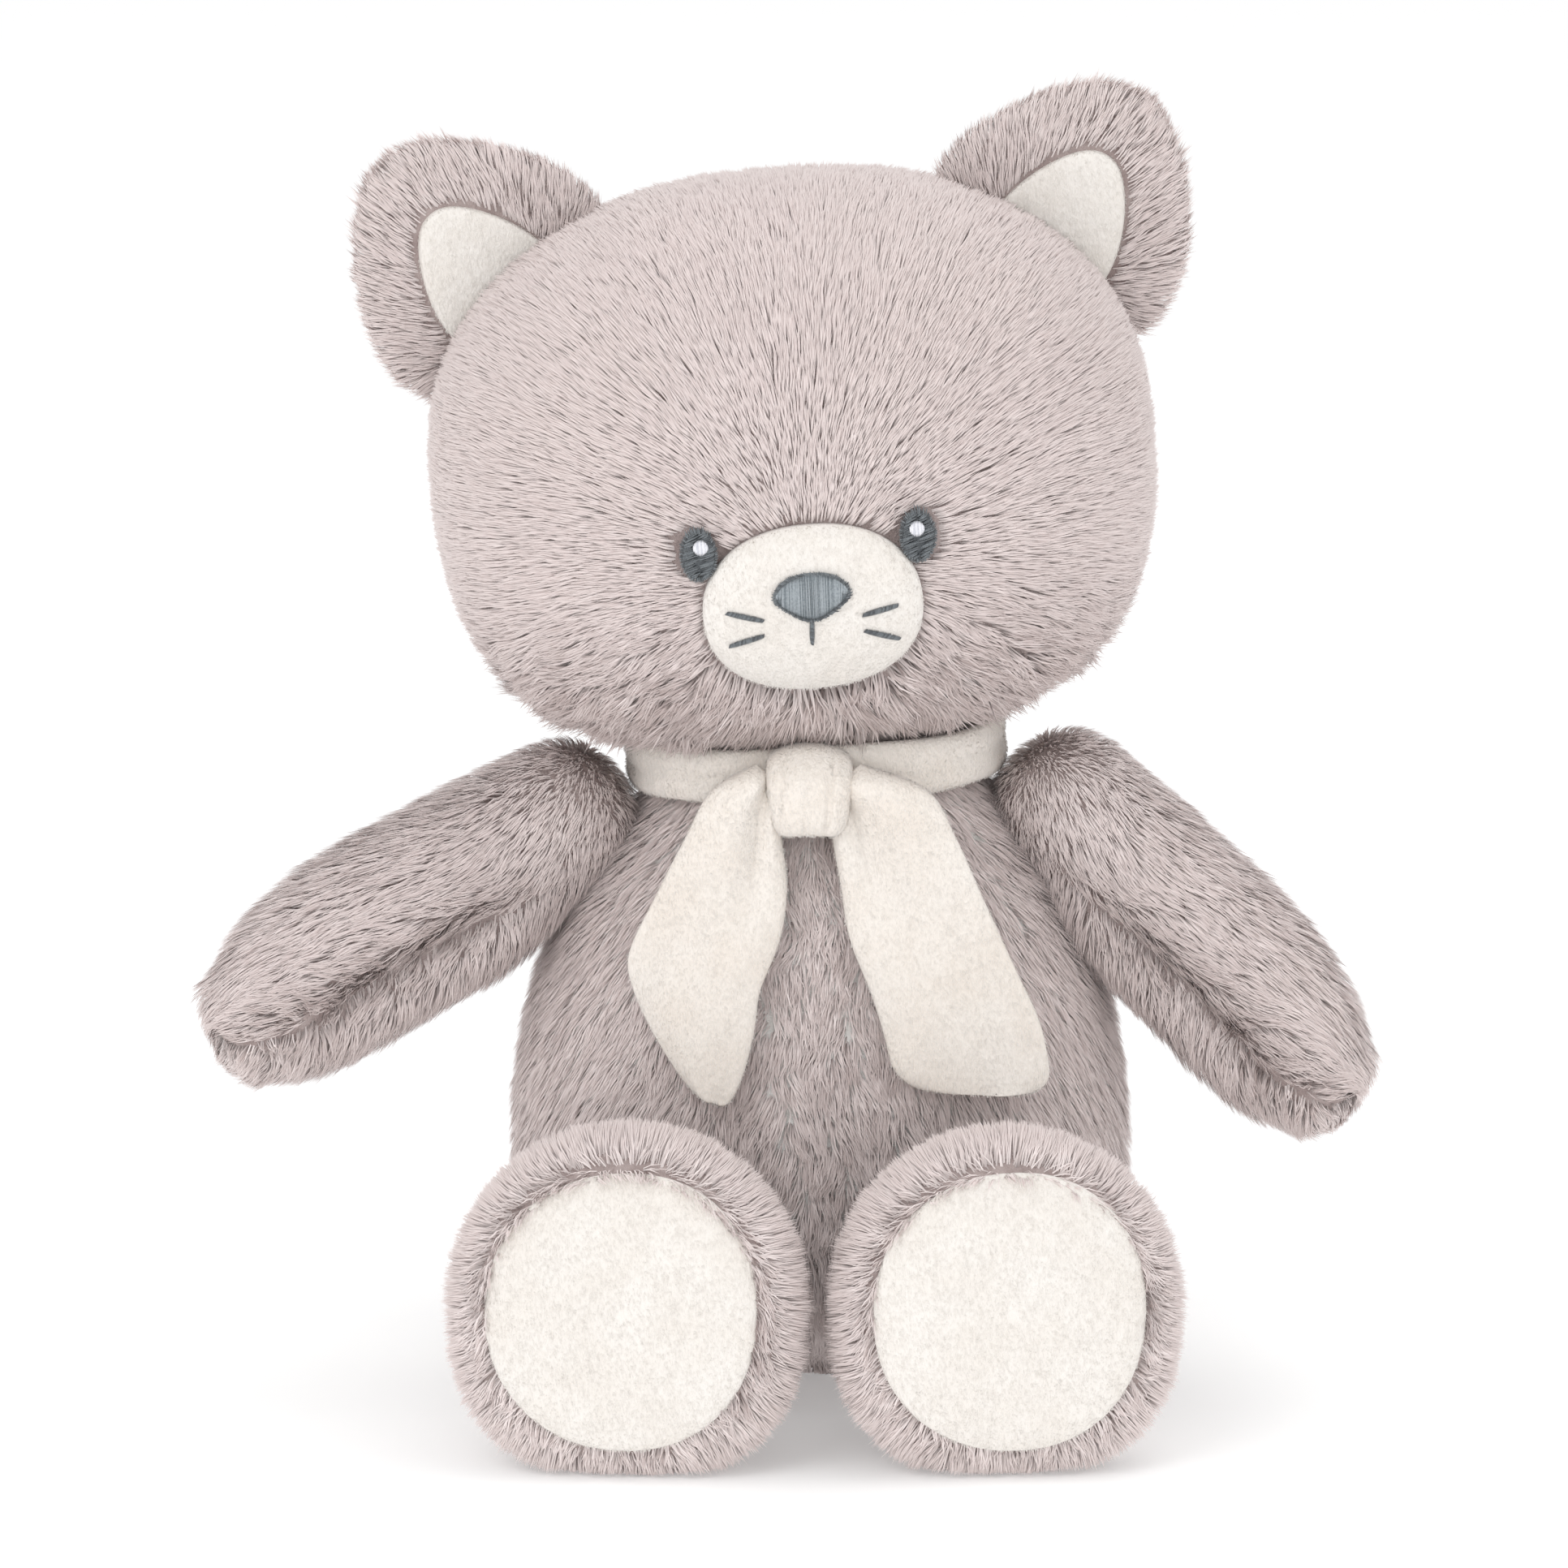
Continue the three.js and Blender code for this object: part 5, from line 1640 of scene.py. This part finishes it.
@dataclass
class Scarf:
    """A doubled velour scarf: a band round the neck, a knot and two hanging tails."""

    finishes: Finishes
    torso: Torso
    band_half: tuple = (41 * MM, 37.2 * MM)
    band_at: tuple = (1 * MM, 0.0, 144.5 * MM)
    band_roll: float = math.radians(-2.5)
    # rows down each tail, in mm: (x and z of the edge nearer -X, x and z of the edge nearer +X)
    right_rows: tuple = ((-12.5, 149, -8, 145), (-22.5, 143, -7, 134), (-28.5, 132, -5.5, 121.5),
                         (-35, 119, -7, 110), (-41, 106, -11.5, 98.5), (-40.3, 98, -12.6, 91),
                         (-36.5, 89.5, -14, 84.5), (-31, 81, -16, 78.2), (-27, 76.2, -18.3, 74),
                         (-24, 74, -20.5, 73))
    left_rows: tuple = ((5, 144, 11, 149), (4.5, 134, 26, 143), (6.5, 121.5, 32.5, 132),
                        (8.5, 110, 38.5, 118.5), (13.5, 97.5, 45.5, 103), (16.3, 88.5, 51, 91),
                        (18.3, 81.5, 53.2, 82), (22.5, 77.6, 53.3, 77), (28, 76, 50.5, 74.3),
                        (33, 75.3, 45, 74))

    def build_band(self) -> None:
        """The band: a soft strip folded lengthways, with a crease round its middle."""
        around, angle = full_turn(120), full_turn(28)
        out = 2.5 * MM * signed_power(np.cos(angle), 0.7)
        up = 6.6 * MM * signed_power(np.sin(angle), 0.85)
        wander = 1.1 * MM * np.sin(3 * around + 0.7) + 0.8 * MM * np.sin(7 * around)
        crease = -0.9 * MM * np.exp(-(((up[None] - wander[:, None]) / (1.3 * MM)) ** 2))
        crease = crease * (np.cos(angle) > 0)[None]
        reach = out[None] + crease + 0.35 * MM * np.sin(5 * around)[:, None]
        x = (self.band_half[0] + reach) * np.cos(around)[:, None]
        y = (self.band_half[1] + reach) * np.sin(around)[:, None]
        z = up[None] * (1 + 0.07 * np.sin(4 * around + 1)[:, None]) + 0 * x
        matrix = turn_matrix(np.array([0.0, 1.0, 0.0]), self.band_roll)
        rings = np.stack([x, y, z], -1) @ matrix.T + np.array(self.band_at)
        piece = dress(hoop_body("scarf_collar", rings), self.finishes.scarf)
        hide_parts("scarf_band")
        closed = np.concatenate([rings, rings[:1]])
        nap = nap_pieces("scarf_collar_nap", closed, self.finishes.nap, Seed.SCARF_BAND)
        ride_all([piece, *nap], "torso")

    def build_knot(self) -> None:
        """The knot: a wrapped loop with upright folds, nipped in at its top."""
        rows, columns = 40, 72
        rise = -np.cos(np.pi * (np.arange(rows) + 0.4) / (rows - 0.2))[:, None]
        angle = full_turn(columns)[None]
        spread = (1 - np.abs(rise) ** 4.5) ** (1 / 4.5)
        width = 9.3 * MM * (1 + 0.13 * rise)
        x = width * spread * signed_power(np.cos(angle), 0.75)
        front = np.clip(-np.sin(angle), 0, 1)
        fold = 0.3 * MM * np.sin(x / (0.9 * MM) + 2) * front
        for groove, depth in ((-6.2, 1.3), (-0.4, 0.9), (4.6, 1.5)):
            fold = fold - depth * MM * np.exp(-(((x / MM - groove - 0.9 * rise) / 0.8) ** 2)) * front
        y = (5.6 * MM * spread + fold * spread) * signed_power(np.sin(angle), 0.7)
        y = y + 6.0 * MM * smooth_step(rise, 0.1, 1.3)
        z = 9.8 * MM * rise + 0.8 * MM * np.cos(x / (4 * MM)) + 0 * x
        low, high = (np.array(corner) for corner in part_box("scarf_knot"))
        rings = np.stack([x, y, z], -1) + (low + high) / 2 + np.array([0, -2.0 * MM, -0.6 * MM])
        piece = padded_body("scarf_tie", rings, self.finishes.scarf, "scarf_velour", 0.3, "scarf_knot")
        nap = nap_pieces("scarf_tie_nap", rings, self.finishes.nap, Seed.SCARF_KNOT)
        ride_all([piece, *nap], "torso")

    def build_tail(self, side: Side, rows_mm: tuple) -> None:
        """A hanging tail, a doubled strip with rolled edges and a soft pleat from the knot.

        Args:
            side: which of the cat's sides it hangs on.
            rows_mm: its edges, station by station.
        """
        stations = [(float(i), *row) for i, row in enumerate(rows_mm)]
        rows, columns = 56, 36
        t = np.linspace(0, len(rows_mm) - 1, rows)
        edges = (hermite(stations, t, column)[:, None] * MM for column in (1, 2, 3, 4))
        left_x, left_z, right_x, right_z = edges
        angle = full_turn(columns)[None]
        across = signed_power(np.cos(angle), 0.62)
        share = (across + 1) / 2
        x = left_x * (1 - share) + right_x * share
        z = left_z * (1 - share) + right_z * share
        down = (t / t[-1])[:, None]
        middle = 0.2 + 0.35 * down if side is Side.LEFT else 0.72 - 0.3 * down
        pleat = 4.0 * MM * np.exp(-(((share - middle) / 0.1) ** 2)) * np.exp(-(((down - 0.06) / 0.26) ** 2))
        ripple = 0.8 * MM * np.sin(3.5 * across + 5 * down + side.value) * down
        puff = 1.0 + 0.9 * np.exp(-((down / 0.22) ** 2))
        half = 1.9 * MM * puff * (1 + 0.55 * (1 - np.abs(across) ** 2.4))
        ends = np.sqrt(np.clip(1 - np.abs(2 * down - 1) ** 24, 0.05, 1))
        chest = self.torso.chest(x, np.minimum(z, 140 * MM)) - 6.3 * MM
        held_out = -46.0 * MM
        resting = 0.5 * (chest + held_out - np.sqrt((chest - held_out) ** 2 + (2 * MM) ** 2))
        y = resting + pleat - ripple + half * ends * signed_power(np.sin(angle), 0.7)
        rings = np.stack([x, y, z], -1)
        piece = dress(ring_body(f"{side.word}_scarf_end", rings), self.finishes.scarf)
        length = float(np.abs(left_z[0] - left_z[-1]).item()) + 8 * MM
        width = float(np.abs(right_x - left_x).max())
        body = f"{side.word}_scarf_tail"
        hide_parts(body)
        pivot = pivot_of(f"{side.word}_scarf_swing")
        nap = nap_pieces(f"{side.word}_scarf_end_nap", rings, self.finishes.nap,
                         Seed.SCARF_TAIL + side.value)
        blend_all([piece, *nap], body, pivot + [0, 0, 8 * MM], pivot + [0, 0, -8 * MM])

    def build(self) -> None:
        """Band, knot and both tails."""
        self.build_band()
        self.build_knot()
        self.build_tail(Side.RIGHT, self.right_rows)
        self.build_tail(Side.LEFT, self.left_rows)
        LOG.info("scarf: collar, knot and two tails")


@dataclass
class CareLabel:
    """A blank folded tape in the back seam."""

    finishes: Finishes

    def build(self) -> None:
        """A strip that leaves the seam, bends down and ends square."""
        low, high = (np.array(corner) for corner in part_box("care_label"))
        rows, columns = 24, 16
        t = np.linspace(0, 1, rows)[:, None]
        angle = full_turn(columns)[None]
        across = signed_power(np.cos(angle), 0.35)
        reach = high[1] - low[1]
        x = (low[0] + high[0]) / 2 + (high[0] - low[0]) / 2 * across + 0 * t
        y = low[1] + reach * (t - 0.18 * t**3) - 2 * MM
        z = high[2] - 0.5 * MM - 7 * MM * t**2.2 + 0.35 * MM * np.sin(angle) + 0 * y
        rings = np.stack([x + 0 * z, y + 0 * z, z], -1)
        piece = dress(ring_body("blank_label", rings), self.finishes.tape)
        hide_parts("care_label")
        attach(piece, "torso")
        LOG.info("care label")


# ---------------------------------------------------------------- studio


@dataclass(frozen=True)
class Studio:
    """A pale floor, soft light and the camera."""

    elevation: float = math.radians(11)
    lens: float = 300.0
    sensor: float = 36.0
    frame_width: float = 0.3536
    target: tuple = (-0.0062, -0.030, 0.1414)

    def floor(self) -> None:
        """A wide pale sweep, a grid that is level under the toy and rises gently far behind it."""
        x = np.linspace(-4, 4, 9)
        y = np.concatenate([np.linspace(-4, 3, 8), np.linspace(3.5, 5, 7)])
        gx, gy = np.meshgrid(x, y, indexing="ij")
        gz = 1.2 * smooth_step(gy, 3.2, 7.0)
        points = np.stack([gx, gy, gz], -1)
        quads = grid_quads(np.arange(gx.size).reshape(gx.shape).T)
        floor = make_mesh("studio_floor", points.reshape(-1, 3), quads)
        tree = Tree("pale_floor")
        shade = tree.mix(tree.noise(3.0), (0.90, 0.90, 0.90), (0.92, 0.92, 0.92))
        floor.data.materials.append(tree.finish(Base_Color=shade, Roughness=0.8, Emission_Strength=0.25,
                                                Emission_Color=(1.0, 1.0, 1.0, 1.0)))

    def lamp(self, name: str, place: tuple, size: float, power: float) -> None:
        """A square soft box that looks at the toy."""
        light = bpy.data.lights.new(name, "AREA")
        light.shape, light.size, light.energy = "SQUARE", size, power
        lamp = bpy.data.objects.new(name, light)
        bpy.context.scene.collection.objects.link(lamp)
        away = np.array(place) - np.array(self.target)
        lamp.location = place
        yaw, pitch = math.atan2(away[0], -away[1]), math.acos(away[2] / np.linalg.norm(away))
        lamp.rotation_euler = (pitch, 0.0, yaw)

    def lights(self) -> None:
        """An even white surround with three soft boxes."""
        world = bpy.data.worlds.new("surround")
        bpy.context.scene.world = world
        world.use_nodes = True
        world.node_tree.nodes["Background"].inputs[0].default_value = (1.0, 1.0, 1.0, 1.0)
        world.node_tree.nodes["Background"].inputs[1].default_value = 0.77
        self.lamp("key_box", (-0.9, -1.5, 1.5), 1.2, 9.0)
        self.lamp("top_box", (0.5, 0.2, 1.8), 1.6, 6.5)
        self.lamp("front_box", (0.2, -2.2, 0.35), 1.2, 8.0)

    def camera(self) -> None:
        """A long lens a little above the toy, square on to it."""
        data = bpy.data.cameras.new("camera")
        data.lens, data.sensor_width = self.lens, self.sensor
        away = self.frame_width * self.lens / self.sensor
        camera = bpy.data.objects.new("camera", data)
        bpy.context.scene.collection.objects.link(camera)
        x, y, z = self.target
        camera.location = (x, y - away * math.cos(self.elevation), z + away * math.sin(self.elevation))
        camera.rotation_euler = (math.pi / 2 - self.elevation, 0.0, 0.0)
        bpy.context.scene.camera = camera

    def build(self) -> None:
        """Floor, lights, camera and a plain tone curve."""
        self.floor()
        self.lights()
        self.camera()
        bpy.context.scene.view_settings.view_transform = "Standard"


ARM_STATIONS = ((0, 20.5), (22, 20.5), (45, 20.8), (60, 20.2), (72, 18.4), (82, 14.4))
LEG_STATIONS = ((0, 28), (12, 29.5), (24, 34.5), (34, 37.3), (43, 36), (48, 33), (50, 31.5))
ARM_ALONG = {Side.RIGHT: (-0.87, -0.15, -0.462), Side.LEFT: (0.727, -0.154, -0.669)}
ARM_GIRTH = {Side.RIGHT: 1.045, Side.LEFT: 1.0}
LEG_GIRTH = {Side.RIGHT: 1.02, Side.LEFT: 1.0}


def make_limbs(torso: Torso, finishes: Finishes) -> list[Limb]:
    """Both arms and both legs."""
    limbs: list[Limb] = []
    for side in Side:
        arm, leg = f"{side.word}_arm", f"{side.word}_leg"
        limbs.append(Arm(torso, finishes, arm, f"{side.word}_shoulder_raise", ARM_ALONG[side], ARM_STATIONS,
                         91.0 * MM, Seed.ARM + side.value, (f"{arm}_shell", f"{arm}_stuffing"),
                         ball_round=2.6, girth=ARM_GIRTH[side]))
        limbs.append(Leg(torso, finishes, leg, f"{side.word}_hip_lift", (side.value * 0.08, -0.994, 0.07),
                         LEG_STATIONS, 50 * MM, Seed.LEG + side.value, (f"{leg}_shell", f"{leg}_stuffing"),
                         (-20 * MM, 8 * MM), True, girth=LEG_GIRTH[side]))
    return limbs


def main() -> None:
    """Builds the studio and then the toy, sub-assembly by sub-assembly."""
    logging.basicConfig(level=logging.INFO, format="%(name)s: %(message)s")
    Studio().build()
    finishes = Finishes.make()
    torso = Torso(finishes)
    limbs = make_limbs(torso, finishes)
    torso.build(limbs)
    head = Head(finishes)
    head.build()
    for side in Side:
        Ear(head, finishes, side).build()
    for limb in limbs:
        limb.build()
    Tail(finishes).build()
    Scarf(finishes, torso).build()
    CareLabel(finishes).build()


if __name__ == "__main__":
    main()
